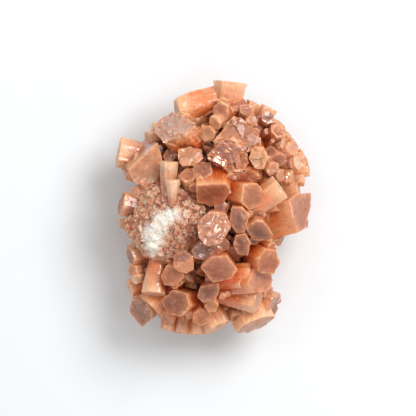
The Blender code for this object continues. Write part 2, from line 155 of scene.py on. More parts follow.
CRYSTALS = (
    Crystal("north_fan", (3.8, 26.9, 20.0), (83, -2), (7.4, 5.0), 12, 0.4),
    Crystal("north_fan_chip", (2.7, 23.6, 22.4), (75, 12), (2.4, 2.0), 7, 0.6),
    Crystal("north_loaf", (-7.8, 20.7, 19.6), (194, 12), (6.5, 6.3), 12, 1.2, 20),
    Crystal("north_loaf_back", (-1.5, 24.9, 16.5), (103, 8), (5.4, 4.6), 10, 0.9),
    Crystal("north_west_foot", (-13.2, 16.9, 17.0), (165, 12), (3.8, 3.4), 9, 0.8),
    Crystal("north_west_plate", (-13.9, 14.7, 18.5), (195, 25), (3.6, 3.2), 9, 0.8),
    Crystal("west_fan", (-20.2, 12.1, 15.0), (169, 5), (6.5, 5.2), 13, 0.75),
    Crystal("west_fan_foot", (-19.0, 7.4, 13.0), (212, 0), (4.0, 3.6), 10, 0.8),
    Crystal("saddle_low", (-0.9, 12.6, 24.0), (200, 70), (2.8, 2.8), 9, 0.9),
    Crystal("north_cup", (-1.2, 15.7, 27.0), (205, 68), (3.7, 3.7), 12, 0.8, 15),
    Crystal("north_roll", (0.3, 17.8, 27.4), (215, 48), (3.4, 3.0), 11, 0.9),
    Crystal("north_button", (1.7, 20.5, 26.6), (230, 74), (3.7, 3.6), 12, 0.8, 10),
    Crystal("north_east_nub", (7.3, 21.0, 24.5), (60, 60), (3.8, 3.4), 11, 0.8),
    Crystal("north_east_bead", (8.5, 18.5, 26.0), (30, 60), (2.9, 2.7), 10, 0.9),
    Crystal("north_east_fin", (8.9, 22.6, 19.0), (64, 2), (3.3, 3.2), 11, 0.8),
    Crystal("north_east_comb", (12.0, 21.5, 18.5), (62, 0), (4.1, 3.6), 12, 0.75),
    Crystal("north_east_rose", (11.8, 19.3, 22.5), (50, 65), (3.2, 3.0), 11, 0.85),
    Crystal("east_ring", (14.0, 16.5, 22.5), (45, 55), (3.5, 3.3), 11, 0.85),
    Crystal("east_ring_foot", (14.5, 17.9, 19.0), (47, 18), (3.4, 3.4), 12, 0.8),
    Crystal("east_step", (16.2, 15.7, 18.0), (42, 12), (3.2, 3.2), 12, 0.8),
    Crystal("east_crest", (17.7, 14.0, 18.0), (36, 10), (3.9, 3.8), 12, 0.85),
    Crystal("east_crest_top", (17.0, 12.6, 21.5), (28, 32), (3.8, 3.4), 12, 0.85),
    Crystal("east_shelf", (19.5, 11.5, 17.5), (26, 8), (3.5, 3.6), 12, 0.85),
    Crystal("east_shelf_top", (18.3, 9.8, 21.5), (10, 34), (3.6, 3.4), 12, 0.85),
    Crystal("east_wall", (20.6, 8.8, 16.5), (10, 5), (3.9, 3.8), 13, 0.85),
    Crystal("east_wall_foot", (19.6, 6.2, 17.0), (0, 4), (3.2, 3.4), 13, 0.85),
    Crystal("east_well", (13.8, 10.0, 23.5), (300, 60), (3.9, 3.4), 11, 0.9),
    Crystal("east_well_back", (12.2, 12.0, 23.5), (100, 60), (2.9, 2.7), 11, 0.9),
    Crystal("east_curl", (12.8, 8.2, 25.5), (330, 58), (3.1, 2.9), 12, 0.85),
    Crystal("east_curl_foot", (14.6, 6.9, 24.0), (340, 45), (2.7, 2.6), 12, 0.85),
    Crystal("east_layers", (17.2, 6.6, 20.5), (0, 14), (4.0, 3.6), 12, 0.85),
    Crystal("ridge_lip", (0.9, 8.9, 27.4), (241, 8), (5.6, 4.6), 10, 0.85),
    Crystal("ridge_hem", (6.4, 6.3, 28.8), (275, 52), (7.0, 4.4), 12, 0.9),
    Crystal("ridge_rose", (6.1, 9.9, 30.2), (255, 72), (2.9, 4.4), 12, 0.9),
    Crystal("ridge_petal", (9.7, 10.4, 30.6), (270, 80), (4.3, 5.8), 14, 0.8),
    Crystal("east_drum_under", (15.6, -5.4, 15.5), (-22, 8), (5.4, 5.0), 13, 0.85),
    Crystal("east_wedge", (18.6, 3.6, 17.5), (6, 8), (5.0, 4.8), 14, 0.85),
    Crystal("east_prism", (14.3, 4.6, 27.2), (35, 5), (5.6, 4.8), 11, 0.85),
    Crystal("east_chip", (13.2, -7.6, 18.5), (305, 18), (3.2, 2.8), 11, 0.9),
    Crystal("east_brick", (9.6, -1.6, 28.0), (300, 60), (3.6, 3.2), 12, 0.9, 30),
    Crystal("middle_tiles", (-5.1, 7.2, 27.6), (95, 55), (3.9, 3.7), 12, 0.85),
    Crystal("crust_post", (-9.2, 10.1, 26.0), (87, 6), (3.9, 3.0), 8, 0.6),
    Crystal("crust_wedge", (-8.3, 6.2, 27.8), (89, 8), (3.4, 2.6), 6, 0.4),
    Crystal("plum_low", (2.1, -7.7, 29.0), (280, 75), (3.1, 3.1), 12, 0.9),
    Crystal("south_east_amber", (8.6, -14.3, 25.6), (3, 13), (5.8, 5.0), 10, 0.95),
    Crystal("south_east_steps", (9.6, -19.7, 23.0), (345, 22), (5.6, 5.0), 12, 0.9),
    Crystal("south_east_toe", (9.3, -24.9, 18.6), (293, 22), (9.0, 6.2), 15, 0.9),
    Crystal("south_east_flank", (13.1, -20.9, 17.5), (335, 25), (6.0, 5.4), 13, 0.85),
    Crystal("south_stub", (-0.2, -20.8, 26.0), (275, 60), (3.2, 3.1), 12, 0.9),
    Crystal("south_dark", (5.4, -23.2, 19.4), (290, 35), (3.0, 2.8), 11, 0.9),
    Crystal("south_granule", (2.1, -18.7, 25.4), (280, 70), (1.5, 1.3), 5, 0.9),
    Crystal("south_granule_low", (3.3, -18.2, 25.0), (320, 65), (1.3, 1.3), 5, 0.9),
    Crystal("south_cream", (1.6, -25.3, 17.0), (298, 10), (7.0, 5.0), 12, 0.8),
    Crystal("south_tooth", (-3.1, -26.9, 14.0), (270, 0), (4.6, 4.4), 13, 0.85),
    Crystal("south_tooth_left", (-6.7, -26.7, 14.5), (262, 2), (3.9, 3.8), 13, 0.85),
    Crystal("south_tooth_last", (-9.7, -26.0, 15.0), (260, 4), (3.5, 3.4), 12, 0.85),
    Crystal("south_amber", (-10.2, -23.4, 19.0), (240, 22), (4.1, 4.0), 12, 0.9),
    Crystal("south_west_tusk", (-12.6, -18.4, 22.8), (262, 14), (5.0, 4.8), 11, 0.65),
    Crystal("west_beak", (-19.6, 1.1, 21.2), (168, 14), (5.8, 5.2), 13, 0.9, 20),
    Crystal("west_beak_back", (-16.8, 3.5, 22.0), (150, 40), (3.2, 3.4), 12, 0.9),
    Crystal("west_splinter", (-20.0, -3.2, 15.0), (186, 2), (2.3, 2.2), 11, 0.9),
    Crystal("west_splinter_low", (-18.9, -4.5, 14.0), (198, 0), (2.1, 2.0), 11, 1.1),
    Crystal("west_cheek", (-17.7, -10.3, 18.4), (195, 15), (4.8, 4.8), 13, 0.9),
    Crystal("west_pale", (-17.2, -13.2, 19.0), (190, 40), (3.3, 3.0), 12, 0.9),
    Crystal("west_pale_bead", (-16.3, -15.2, 19.6), (225, 60), (2.3, 2.8), 10, 0.9),
    Crystal("west_toe", (-17.9, -17.2, 15.0), (200, 10), (4.2, 4.0), 13, 0.9),
    Crystal("foot_south_west", (-8.8, -13.8, -0.6), (238, -64), (6.0, 5.4), 14, 0.7),
    Crystal("foot_south_east", (6.6, -13.0, -0.6), (300, -64), (5.6, 5.2), 14, 0.7),
    Crystal("foot_north_east", (9.4, 8.0, -0.6), (43, -62), (5.8, 5.4), 14, 0.7),
    Crystal("foot_north_west", (-9.2, 9.4, -0.6), (133, -62), (5.4, 5.2), 14, 0.7),
    Crystal("foot_north", (0.8, 15.6, -0.5), (88, -60), (5.2, 5.0), 14, 0.7),
)

# A crystal whose end shows in full.
# corners: the end's corners seen from straight above, x and y.
# height: of the middle of the end. aim, length and root are as above.
Tablet = namedtuple("Tablet", "name corners height aim length root")

TABLETS = (
    Tablet("summit", ((3.8, -3.9), (2.8, -1.0), (-0.6, -0.6), (-3.2, -2.9), (-3.0, -5.9), (-1.0, -8.0),
                      (1.8, -7.5)), 33.6, (250, 80), 16, 0.7),
    Tablet("summit_side", ((4.0, 0.1), (6.2, 0.1), (7.6, -1.5), (6.7, -5.0), (5.0, -5.2), (3.6, -3.0)),
           32.6, (265, 80), 16, 0.8),
    Tablet("smoky_eye", ((7.1, -4.2), (9.3, -2.7), (10.7, -3.0), (12.7, -5.7), (11.8, -6.9), (8.6, -6.8)),
           31.0, (285, 68), 15, 0.8),
    Tablet("plum", ((4.9, -5.7), (6.9, -5.4), (7.8, -7.3), (7.4, -9.8), (5.3, -9.7), (4.4, -7.7)),
           31.0, (270, 75), 15, 0.85),
    Tablet("great_tablet", ((-2.4, -12.4), (-0.2, -10.3), (3.0, -10.0), (5.2, -12.9), (3.8, -14.8),
                            (0.0, -15.6)), 32.6, (275, 78), 17, 0.75),
    Tablet("south_east_knob", ((9.5, -11.1), (11.1, -8.6), (13.3, -8.9), (14.3, -11.3), (12.9, -13.8),
                               (9.8, -13.5)), 28.5, (330, 58), 15, 0.8),
    Tablet("south_east_cheek", ((7.4, -15.9), (9.0, -12.5), (12.5, -13.8), (12.8, -15.3), (11.5, -17.5),
                                (8.4, -17.8)), 26.0, (5, 42), 14, 0.9),
    Tablet("south_stamp", ((-2.6, -16.6), (1.2, -15.8), (1.3, -17.4), (0.6, -19.2), (-2.0, -19.9),
                           (-3.3, -18.7)), 28.6, (250, 75), 13, 0.85),
    Tablet("south_button", ((-4.1, -22.5), (-2.5, -21.2), (-0.4, -22.4), (-0.6, -24.0), (-2.4, -25.0),
                            (-4.1, -24.1)), 23.6, (285, 60), 13, 0.85),
    Tablet("south_west_disc", ((-10.8, -19.4), (-8.6, -17.3), (-5.6, -18.0), (-4.9, -20.6), (-7.0, -22.8),
                               (-9.7, -22.2)), 26.4, (190, 66), 15, 0.85),
    Tablet("south_west_knob", ((-17.3, -19.5), (-14.5, -19.3), (-13.0, -21.7), (-13.2, -23.8),
                               (-15.0, -25.4), (-18.0, -22.2)), 18.5, (222, 50), 15, 0.85),
    Tablet("crust_table", ((-8.1, -12.5), (-4.2, -10.1), (-4.0, -12.9), (-5.5, -13.8), (-7.0, -13.3)),
           29.0, (300, 72), 13, 0.85),
    Tablet("crust_table_top", ((-8.1, -12.5), (-8.2, -9.8), (-6.0, -8.7), (-4.2, -10.1)),
           29.3, (130, 74), 13, 0.85),
    Tablet("crust_foot", ((-10.9, -14.5), (-9.8, -12.2), (-6.6, -12.8), (-6.1, -14.6), (-8.0, -16.4),
                          (-10.3, -16.2)), 27.0, (230, 66), 13, 0.85),
    Tablet("middle_boss", ((6.2, 1.2), (8.0, -0.5), (10.3, 0.8), (11.2, 3.2), (9.7, 5.2), (6.8, 5.0)),
           30.6, (345, 54), 14, 0.9),
    Tablet("middle_tent", ((-3.4, 4.6), (2.7, 5.1), (3.8, 3.8), (2.4, 1.2), (-0.4, 0.4), (-3.2, 1.2)),
           29.6, (268, 55), 13, 0.9),
    Tablet("east_drum", ((16.3, 1.7), (18.0, 3.1), (21.1, 3.3), (20.9, 0.4), (19.6, -4.2), (18.1, -5.1),
                         (17.2, -2.2)), 21.2, (15, 32), 15, 0.9),
    Tablet("north_west_block", ((-12.8, 17.0), (-10.9, 19.6), (-8.8, 20.7), (-4.7, 19.0), (-4.0, 17.3),
                                (-6.0, 15.4), (-10.6, 13.9)), 25.0, (138, 42), 15, 0.95),
    Tablet("saddle", ((-7.5, 10.6), (-7.3, 12.5), (-4.8, 13.2), (-2.3, 12.5), (-1.9, 10.6), (-4.0, 9.2),
                      (-6.3, 9.2)), 26.6, (100, 72), 13, 0.9),
    Tablet("west_nook", ((-10.6, 11.0), (-9.7, 12.5), (-8.2, 12.4), (-7.6, 11.2), (-8.6, 10.2),
                         (-9.9, 10.1)), 23.0, (120, 72), 11, 0.9),
    Tablet("west_slab", ((-11.6, 13.7), (-10.9, 11.5), (-10.4, 8.7), (-11.6, 5.6), (-14.4, 4.5),
                         (-16.6, 5.7), (-17.6, 8.1)), 23.4, (312, 76), 12, 0.9),
    Tablet("ridge_crown", ((0.4, 13.8), (1.7, 16.0), (3.4, 18.8), (4.8, 19.6), (7.4, 18.4), (9.6, 16.4),
                           (10.4, 14.4), (10.0, 12.6), (5.6, 11.6), (2.4, 12.0)), 29.2, (66, 74), 15, 0.85),
    Tablet("ridge_face", ((-1.4, 10.4), (0.5, 13.9), (3.9, 14.6), (6.3, 12.6), (5.8, 9.8), (3.6, 8.0),
                          (0.8, 8.6)), 29.8, (236, 64), 14, 0.9),
    Tablet("crust_glint", ((-4.4, -8.6), (-2.6, -7.2), (0.4, -7.5), (2.3, -8.6), (1.5, -10.1),
                           (-1.0, -11.0), (-4.1, -10.6)), 29.7, (258, 70), 12, 0.9),
)

# How far crystals may reach from the middle, by degrees round from +X.
WAIST = (
    (0, 19.0), (35, 20.5), (60, 22.0), (90, 23.0), (115, 20.5), (135, 19.0), (150, 21.0),
    (165, 17.0), (185, 18.0), (210, 20.0), (235, 26.0), (262, 25.0), (275, 24.5), (290, 25.5),
    (305, 21.0), (320, 15.5), (335, 15.5), (360, 19.0),
)

# Colours of flat ends, as red, green and blue on a screen.
ENDS = {
    "plum": (138, 80, 62), "umber": (150, 84, 60), "pink": (184, 116, 84), "rose": (216, 160, 132),
    "tan": (204, 146, 108), "peach": (230, 182, 146), "cream": (236, 210, 186), "orange": (208, 132, 88),
    "brown": (150, 84, 54), "smoke": (110, 58, 48), "clay": (188, 124, 90), "russet": (186, 104, 70),
    "sienna": (174, 98, 64),
}
# Colours of bodies: near the end, and at the root.
BODIES = {
    "peach": ((230, 176, 134), (220, 128, 70)), "cream": ((232, 200, 174), (206, 140, 106)),
    "flame": ((244, 186, 140), (226, 112, 44)), "honey": ((246, 200, 160), (234, 142, 80)),
    "tan": ((212, 150, 110), (180, 94, 56)), "orange": ((234, 150, 86), (212, 90, 28)),
    "amber": ((222, 128, 60), (182, 68, 18)), "rose": ((220, 162, 132), (172, 92, 64)),
    "brown": ((164, 90, 58), (108, 42, 22)), "dark": ((124, 56, 32), (84, 32, 16)),
}

# How a crystal looks. end and body: its colours. ribs: depth of its lengthwise grooves. steps: depth of
# the ledges across its sides. chips: depth of the bites out of its edges. dish: how far the middle of the
# end lies below its rim. sparkle: share of small glinting facets. rough: how high its broken facets are.
# soft: how far its edges are rounded.
Look = namedtuple(
    "Look", "end body ribs steps chips dish sparkle rough soft",
    defaults=(0.10, 0.06, 0.5, 0.05, 0.3, 0.05, 0.12),
)

LOOKS = {
    "north_fan": Look("peach", "peach", 0.16, 0.04, 0.5),
    "north_fan_chip": Look("peach", "peach", 0.12),
    "north_loaf": Look("peach", "honey", 0.02, 0.02, 0.4, 0.0, 0.1, 0.3, 1.4),
    "north_loaf_back": Look("peach", "honey", 0.03, 0.02, 0.2, 0.0, 0.1, 0.04, 1.2),
    "north_west_foot": Look("cream", "cream", 0.1, 0.05, 0.7, rough=0.15),
    "north_west_plate": Look("cream", "cream", 0.1, 0.05, 0.7, rough=0.15),
    "west_fan": Look("peach", "peach", 0.16, 0.05, 0.6, soft=0.4),
    "west_fan_foot": Look("orange", "peach", 0.16, 0.1, 0.8, rough=0.2),
    "west_slab": Look("tan", "tan", 0.03, 0.02, 0.2, 0.0, 0.5, 0.05),
    "saddle_low": Look("brown", "brown"),
    "north_cup": Look("tan", "tan", 0.05),
    "north_roll": Look("tan", "tan", 0.12, soft=0.4),
    "north_button": Look("pink", "tan"),
    "north_east_nub": Look("pink", "rose", 0.1, 0.1, 0.8, 0.1, 0.6, 0.25),
    "north_east_bead": Look("rose", "brown", 0.1, 0.1, 0.8, rough=0.2),
    "north_east_fin": Look("tan", "tan", 0.2, 0.05, 1.0),
    "north_east_comb": Look("peach", "tan", 0.2, 0.05, 0.8),
    "north_east_rose": Look("plum", "brown", 0.1, 0.1, 0.9, 0.3, 0.5, 0.15),
    "east_ring": Look("rose", "brown", 0.1, 0.1, 0.6, 1.6, 0.5),
    "east_ring_foot": Look("tan", "brown", 0.2, 0.1, 0.9),
    "east_step": Look("rose", "tan", 0.2, 0.1, 0.9, rough=0.15),
    "east_crest": Look("rose", "rose", 0.16, 0.15, 1.0, rough=0.15),
    "east_crest_top": Look("rose", "rose", 0.16, 0.2, 1.0, 0.1, 0.5, 0.2),
    "east_shelf": Look("rose", "peach", 0.16, 0.2, 1.0, rough=0.15),
    "east_shelf_top": Look("cream", "rose", 0.16, 0.25, 1.0, 0.1, 0.6, 0.2),
    "east_wall": Look("peach", "peach", 0.16, 0.15, 0.9, rough=0.1),
    "east_wall_foot": Look("peach", "tan", 0.16, 0.15, 0.9),
    "east_well": Look("plum", "brown", 0.05),
    "east_well_back": Look("brown", "brown"),
    "east_curl": Look("rose", "rose", 0.1, 0.1, 0.7, 0.3, rough=0.1),
    "east_curl_foot": Look("rose", "brown", 0.1, 0.15, 0.7),
    "east_layers": Look("tan", "tan", 0.05, 0.3, 0.7),
    "ridge_crown": Look("clay", "tan", 0.1, 0.1, 1.2, 0.0, 0.3, 0.45),
    "ridge_face": Look("russet", "orange", 0.1, 0.15, 0.9, 0.0, 1.0, 0.5),
    "ridge_lip": Look("orange", "amber", 0.1, 0.3, 0.9, 0.1, 1.0, 0.3),
    "ridge_hem": Look("russet", "orange", 0.1, 0.15, 0.9, 0.0, 0.7, 0.35),
    "ridge_rose": Look("russet", "tan", 0.1, 0.1, 0.8, 0.1, 0.5, 0.3),
    "ridge_petal": Look("peach", "orange", 0.1, 0.1, 1.1, 0.1, 0.3, 0.25),
    "east_drum_under": Look("brown", "amber"),
    "east_wedge": Look("orange", "orange", 0.05, 0.1, 0.6),
    "east_prism": Look("cream", "peach", 0.04, 0.04, 0.5),
    "east_chip": Look("tan", "tan"),
    "east_brick": Look("brown", "amber", 0.05, 0.04, 0.4),
    "middle_tiles": Look("umber", "tan", 0.05, 0.3, 0.5),
    "crust_post": Look("cream", "cream", 0.16, 0.05, 0.7),
    "crust_wedge": Look("cream", "cream", 0.12, 0.05, 0.6),
    "plum_low": Look("plum", "brown"),
    "crust_glint": Look("plum", "tan", 0.1, 0.1, 0.6, 0.0, 1.0, 0.2),
    "south_east_amber": Look("orange", "orange", 0.1, 0.1, 0.5, 0.0, 0.4),
    "south_east_steps": Look("rose", "flame", 0.12, 0.2, 0.8, 0.1, 0.5, 0.1),
    "south_east_toe": Look("rose", "honey", 0.05, 0.04, 0.5, 0.0, 0.5, 0.12, 0.4),
    "south_east_flank": Look("pink", "tan", 0.08, 0.08, 0.6, sparkle=0.7),
    "south_stub": Look("tan", "tan", 0.1, 0.1, 0.8, rough=0.15),
    "south_dark": Look("smoke", "dark"),
    "south_granule": Look("rose", "rose"),
    "south_granule_low": Look("rose", "rose"),
    "south_cream": Look("peach", "peach", 0.06, 0.05, 0.5),
    "south_tooth": Look("peach", "peach", 0.16, 0.15, 0.9),
    "south_tooth_left": Look("tan", "peach", 0.16, 0.15, 0.9),
    "south_tooth_last": Look("peach", "peach", 0.16, 0.15, 0.9),
    "south_amber": Look("orange", "amber"),
    "south_west_tusk": Look("rose", "peach", 0.1, 0.05, 0.6, 0.05, 0.4, soft=0.5),
    "west_beak": Look("russet", "brown", 0.06, 0.05, 0.8, 0.0, 0.1, 0.15, 0.5),
    "west_beak_back": Look("rose", "brown", 0.1, 0.1, 0.9, rough=0.2),
    "west_splinter": Look("cream", "peach", 0.12),
    "west_splinter_low": Look("peach", "peach", 0.12),
    "west_cheek": Look("brown", "tan", 0.08, 0.05, 0.5),
    "west_pale": Look("rose", "rose", 0.1, 0.1, 0.8, rough=0.2),
    "west_pale_bead": Look("cream", "cream", 0.1, 0.1, 0.8, rough=0.15),
    "west_toe": Look("peach", "orange", soft=0.5),
    "summit": Look("orange", "orange", 0.06, 0.05, 0.5, 0.0, 1.0, 0.15),
    "summit_side": Look("plum", "orange", 0.06, 0.05, 0.3),
    "smoky_eye": Look("smoke", "tan", 0.06, 0.05, 0.3),
    "plum": Look("plum", "orange", 0.06, 0.05, 0.4),
    "great_tablet": Look("umber", "orange", 0.08, 0.05, 0.25, 0.06, 0.15),
    "south_east_knob": Look("pink", "orange", 0.08, 0.06, 0.35),
    "south_east_cheek": Look("pink", "orange", 0.08, 0.1, 0.5, sparkle=0.4),
    "south_stamp": Look("plum", "amber", 0.06, 0.05, 0.4),
    "south_button": Look("orange", "amber", 0.06, 0.05, 0.4),
    "south_west_disc": Look("umber", "orange", 0.08, 0.05, 0.7, 0.15, 0.4),
    "south_west_knob": Look("pink", "amber", 0.1, 0.1, 0.7, 0.05, 0.9, 0.2),
    "crust_table": Look("tan", "orange", 0.08, 0.05, 0.2, 0.0),
    "crust_table_top": Look("umber", "orange", 0.08, 0.05, 0.2, 0.0, 0.5),
    "crust_foot": Look("pink", "orange", 0.08, 0.05, 0.5),
    "middle_boss": Look("clay", "orange", 0.06, 0.05, 0.4, soft=0.5),
    "middle_tent": Look("sienna", "orange", 0.05, 0.05, 0.3),
    "east_drum": Look("pink", "peach", 0.1, 0.05, 0.4, sparkle=0.4),
    "north_west_block": Look("rose", "orange", 0.05, 0.05, 0.6, 0.0, 1.0, 0.35),
    "saddle": Look("tan", "tan", 0.08, 0.08, 0.7, 0.0, 0.4, 0.3),
    "west_nook": Look("plum", "brown"),
}
FILL_LOOKS = (
    Look("pink", "orange"), Look("tan", "tan"), Look("rose", "rose"), Look("umber", "amber"),
    Look("peach", "peach"), Look("brown", "brown"), Look("orange", "orange"), Look("pink", "tan"),
)
# Deep fill crystals, the small crystals that coat the heart and the heart itself get dark browns, as painted
# shade for the gaps between the large crystals.
DEEP_SHADE_LOOKS = (Look("umber", "amber"), Look("brown", "amber"), Look("brown", "dark"), Look("plum", "amber"))
DRUSE_SHADE_LOOKS = (Look("brown", "dark"), Look("brown", "amber"), Look("brown", "brown"), Look("umber", "dark"))
FOOT_LOOK = Look("tan", "tan")
HEART_SHADE_LOOK = Look("brown", "dark")

# Fill crystals that point up more steeply than this, in degrees, have the looks of deep ones.
DEEP_ABOVE = 25.0

# The share of the heart's size that is built. The hearts of the northern and the southern crystals are
# smaller again, so that no surfaces of two pieces lie in the same place.
CORE_SHARE = 0.9
NORTH_SHARE = 0.97
SOUTH_SHARE = 0.96

# What the finish reads on the heart: depth, and distance from a rim, share of an end, sparkle and shade.
HEART_DEPTH = 8.0
HEART_ZONE = (3.0, 0.0, 0.2, 0.5)

# Small crystals that coat the heart between the others.
DRUSE_CRYSTALS = 420
DRUSE_HEIGHT = (0.1, 1.1)
DRUSE_LEAN = (0.1, 0.7)
DRUSE_WIDTH = (1.4, 3.0)
DRUSE_LENGTH = 4.0
DRUSE_ROOT = 0.9
DRUSE_EDGE = 0.14
DRUSE_START = 50.0

# Small crystals beside each large one: how many, how far out, how much lower, how wide and how far off
# its aim. A crystal has them if its end is wide enough, if it points up enough and if it is no loner.
SATELLITES = 3
SATELLITE_PARENT = 2.8
SATELLITE_OUT = (0.4, 0.58)
SATELLITE_DROP = (0.9, 3.2)
SATELLITE_WIDTH = (0.28, 0.56)
SATELLITE_TURN = 6.0
SATELLITE_ABOVE = 25.0
SATELLITE_LENGTH = 6.0
SATELLITE_ROOT = 0.9
LONERS = (
    "west_slab", "great_tablet", "ridge_crown", "ridge_face", "ridge_petal", "ridge_rose", "crust_glint",
    "summit", "north_west_block", "south_west_disc", "south_stamp", "middle_boss",
)

# Where the northern and the southern crystals, which are two pieces, meet.
HALVES_MEET = 1.5

# Broken bits on the crust: how many, how large, how far they lean and how far they are sunk.
CRUMBS = 1500
CRUMB_SIZE = (0.35, 1.4)
CRUMB_LEAN = 0.9
CRUMB_SINK = 0.2
CRUMB_START = 20.0
CRUMB_CUBE = 0.8
CRUMB_CORNERS = (0.6, 1.3)
CRUMB_ACROSS = (0.6, 1.4)
CRUMB_UPRIGHT = (0.4, 1.1)
CRUMB_TINTS = (
    (222, 166, 134), (230, 184, 154), (208, 144, 112), (234, 198, 170), (218, 158, 122), (190, 112, 78),
    (230, 182, 152), (202, 134, 100),
)
DARK_TINTS = ((176, 104, 74), (150, 82, 58), (196, 130, 98))
CHALK_TINT = (248, 236, 224)

# Where the white covers the bed by more than BARE_WHITE, this share of the crumbs is left out.
BARE_WHITE = 0.75
BARE_SHARE = 0.85

# Above the bed, the height that crumbs are dropped from.
DROP_HEIGHT = 12.0

# The studio: the sky's strength, the lamps (name, degrees round from +X and above the table, distance
# and size in metres, watts), the table's half size in metres, and the camera's focal length and sensor
# width in millimetres and its place in metres.
SKY_STRENGTH = 0.55
LAMPS = (
    ("window", 40.0, 56.0, 0.42, 0.2, 1.3),
    ("glint_left", 150.0, 66.0, 0.42, 0.06, 0.06),
    ("glint_right", 330.0, 72.0, 0.42, 0.05, 0.05),
    ("glint_low", 240.0, 68.0, 0.42, 0.05, 0.05),
    ("glint_top", 80.0, 78.0, 0.42, 0.05, 0.04),
    ("glint_north_west", 130.0, 28.0, 0.42, 0.07, 0.06),
    ("glint_south_east", 300.0, 30.0, 0.42, 0.07, 0.06),
)
TABLE_HALF_SIZE = 1.5
LENS = 500.0
SENSOR = 36.0
CAMERA_PLACE = (-0.00108, -0.00011, 1.241)

# Painted glow: emission that stands in for light carried through the mineral; this is the strength of that
# glow.
PAINTED_GLOW_STRENGTH = 0.008

# What the whole mineral lets through of red, green and blue.
MINERAL_TINT = (0.95, 0.84, 0.73)

# Crystals differ by their number: where their noise starts, and their own shade.
NOISE_STEP = 37.0
SHADE_STEP = 0.618

# Mesh sizes: how long an edge may be near a crystal's end and further down, and where that changes.
SHOWN_EDGE = 0.56
FILL_EDGE = 0.85
COARSE_EDGE = 3.0
FINE_DEPTH = 6.5
REFINE_ROUNDS = 6

# How close two heights count as the same.
NEAR = 0.01

# From where a crystal counts as rough and as soft, with the finer mesh and the rounder edges that it gets.
ROUGH_FROM = 0.25
ROUGH_EDGE_SHARE = 0.75
SOFT_FROM = 0.3
SOFT_SEGMENTS = 4

# Broken facets: from which roughness there are any, and their size across and along a crystal.
FACETS_FROM = 0.1
FACET_SIZE = (2.4, 2.4, 3.2)

# How far the sides stand out before grooves and ledges are cut into them.
PLUMP = 0.12

# Edges between faces that turn by more than this many degrees stay sharp.
SHARP_ANGLE = 38.0

# How far inside the part's box all points stay, in metres.
WALL_GAP = 0.00001


def direction(around, above):
    """Unit vector that points a number of degrees round from +X and above the table."""
    turn, lift = math.radians(around), math.radians(above)
    return Vector((math.cos(turn) * math.cos(lift), math.sin(turn) * math.cos(lift), math.sin(lift)))


def degrees_of(way):
    """How many degrees a unit vector points round from +X and above the table."""
    return math.degrees(math.atan2(way.y, way.x)), math.degrees(math.asin(way.z))


def placing(tip, around, above):
    """Matrix that carries an upright crystal, its end at height 0, to its tip and its aim."""
    along = direction(around, above)
    across = Vector((-math.sin(math.radians(around)), math.cos(math.radians(around)), 0.0))
    rising = along.cross(across)
    turned = Matrix((across, rising, along)).transposed().to_4x4()
    return Matrix.Translation(Vector(tip)) @ turned


def six_sided(crystal, chance):
    """A flared six-sided prism, upright, with corners that are a little uneven."""
    shape = bmesh.new()
    rolled = Matrix.Rotation(math.radians(crystal.roll - 90), 4, "Z")
    bmesh.ops.create_cone(
        shape, cap_ends=True, segments=6, radius1=0.5 * crystal.root, radius2=0.5, depth=1.0,
        matrix=Matrix.Translation((0.0, 0.0, -0.5)) @ rolled,
    )
    wobble = [1.0 + chance.uniform(-CORNER_WOBBLE, CORNER_WOBBLE) for _ in range(6)]
    for vertex in shape.verts:
        corner = round((math.degrees(math.atan2(vertex.co.y, vertex.co.x)) - crystal.roll) / 60.0) % 6
        vertex.co.xy *= wobble[corner]
    bmesh.ops.scale(shape, vec=(crystal.across[0], crystal.across[1], crystal.length), verts=shape.verts)
    return shape, placing(crystal.tip, *crystal.aim)


def many_sided(tablet):
    """A prism, upright, whose end shows the tablet's corners once it is in its place."""
    along = direction(*tablet.aim)
    count = len(tablet.corners)
    middle = Vector((sum(x for x, _ in tablet.corners) / count, sum(y for _, y in tablet.corners) / count))
    place = placing((middle.x, middle.y, tablet.height), *tablet.aim)
    upright = place.inverted()
    shape = bmesh.new()
    ring = []
    for x, y in tablet.corners:
        drop = (along.x * (x - middle.x) + along.y * (y - middle.y)) / along.z
        ring.append(shape.verts.new(upright @ Vector((x, y, tablet.height - drop))))
    end = shape.faces.new(ring)
    grown = bmesh.ops.extrude_face_region(shape, geom=[end])
    root = [item for item in grown["geom"] if isinstance(item, bmesh.types.BMVert)]
    bmesh.ops.scale(shape, vec=Vector.Fill(3, tablet.root), verts=root)
    bmesh.ops.translate(shape, vec=(0.0, 0.0, -tablet.length), verts=root)
    bmesh.ops.recalc_face_normals(shape, faces=shape.faces)
    return shape, place


def tablet_size(tablet):
    """The middle of a tablet's end and how wide the end is along the table and at right angles to that."""
    shape, stand = many_sided(tablet)
    places = [vertex.co.copy() for vertex in end_face(shape).verts]
    shape.free()
    across = []
    for axis in (0, 1):
        reach = [place[axis] for place in places]
        across.append(max(reach) - min(reach))
    return stand.translation, across


def end_face(shape):
    """The flat end of an upright crystal."""
    return max(shape.faces, key=lambda face: face.calc_center_median().z)


def refine(shape, fine_edge):
    """Cuts long edges until those near the end are fine and the buried ones coarse."""
    plane = shape.verts[:] + shape.edges[:] + shape.faces[:]
    bmesh.ops.bisect_plane(shape, geom=plane, plane_co=(0.0, 0.0, -FINE_DEPTH), plane_no=(0.0, 0.0, 1.0))
    bmesh.ops.poke(shape, faces=[end_face(shape)])
    for _ in range(REFINE_ROUNDS):
        bmesh.ops.triangulate(shape, faces=shape.faces)
        long_edges = []
        for edge in shape.edges:
            deepest = min(vertex.co.z for vertex in edge.verts)
            allowed = fine_edge if deepest > -FINE_DEPTH - NEAR else COARSE_EDGE
            if edge.calc_length() > allowed:
                long_edges.append(edge)
        bmesh.ops.subdivide_edges(shape, edges=long_edges, cuts=1)
    bmesh.ops.triangulate(shape, faces=shape.faces)


def smooth(values, start, stop):
    """0 up to start and 1 from stop on, with a soft passage between them."""
    share = np.clip((values - start) / (stop - start), 0.0, 1.0)
    return share * share * (3.0 - 2.0 * share)


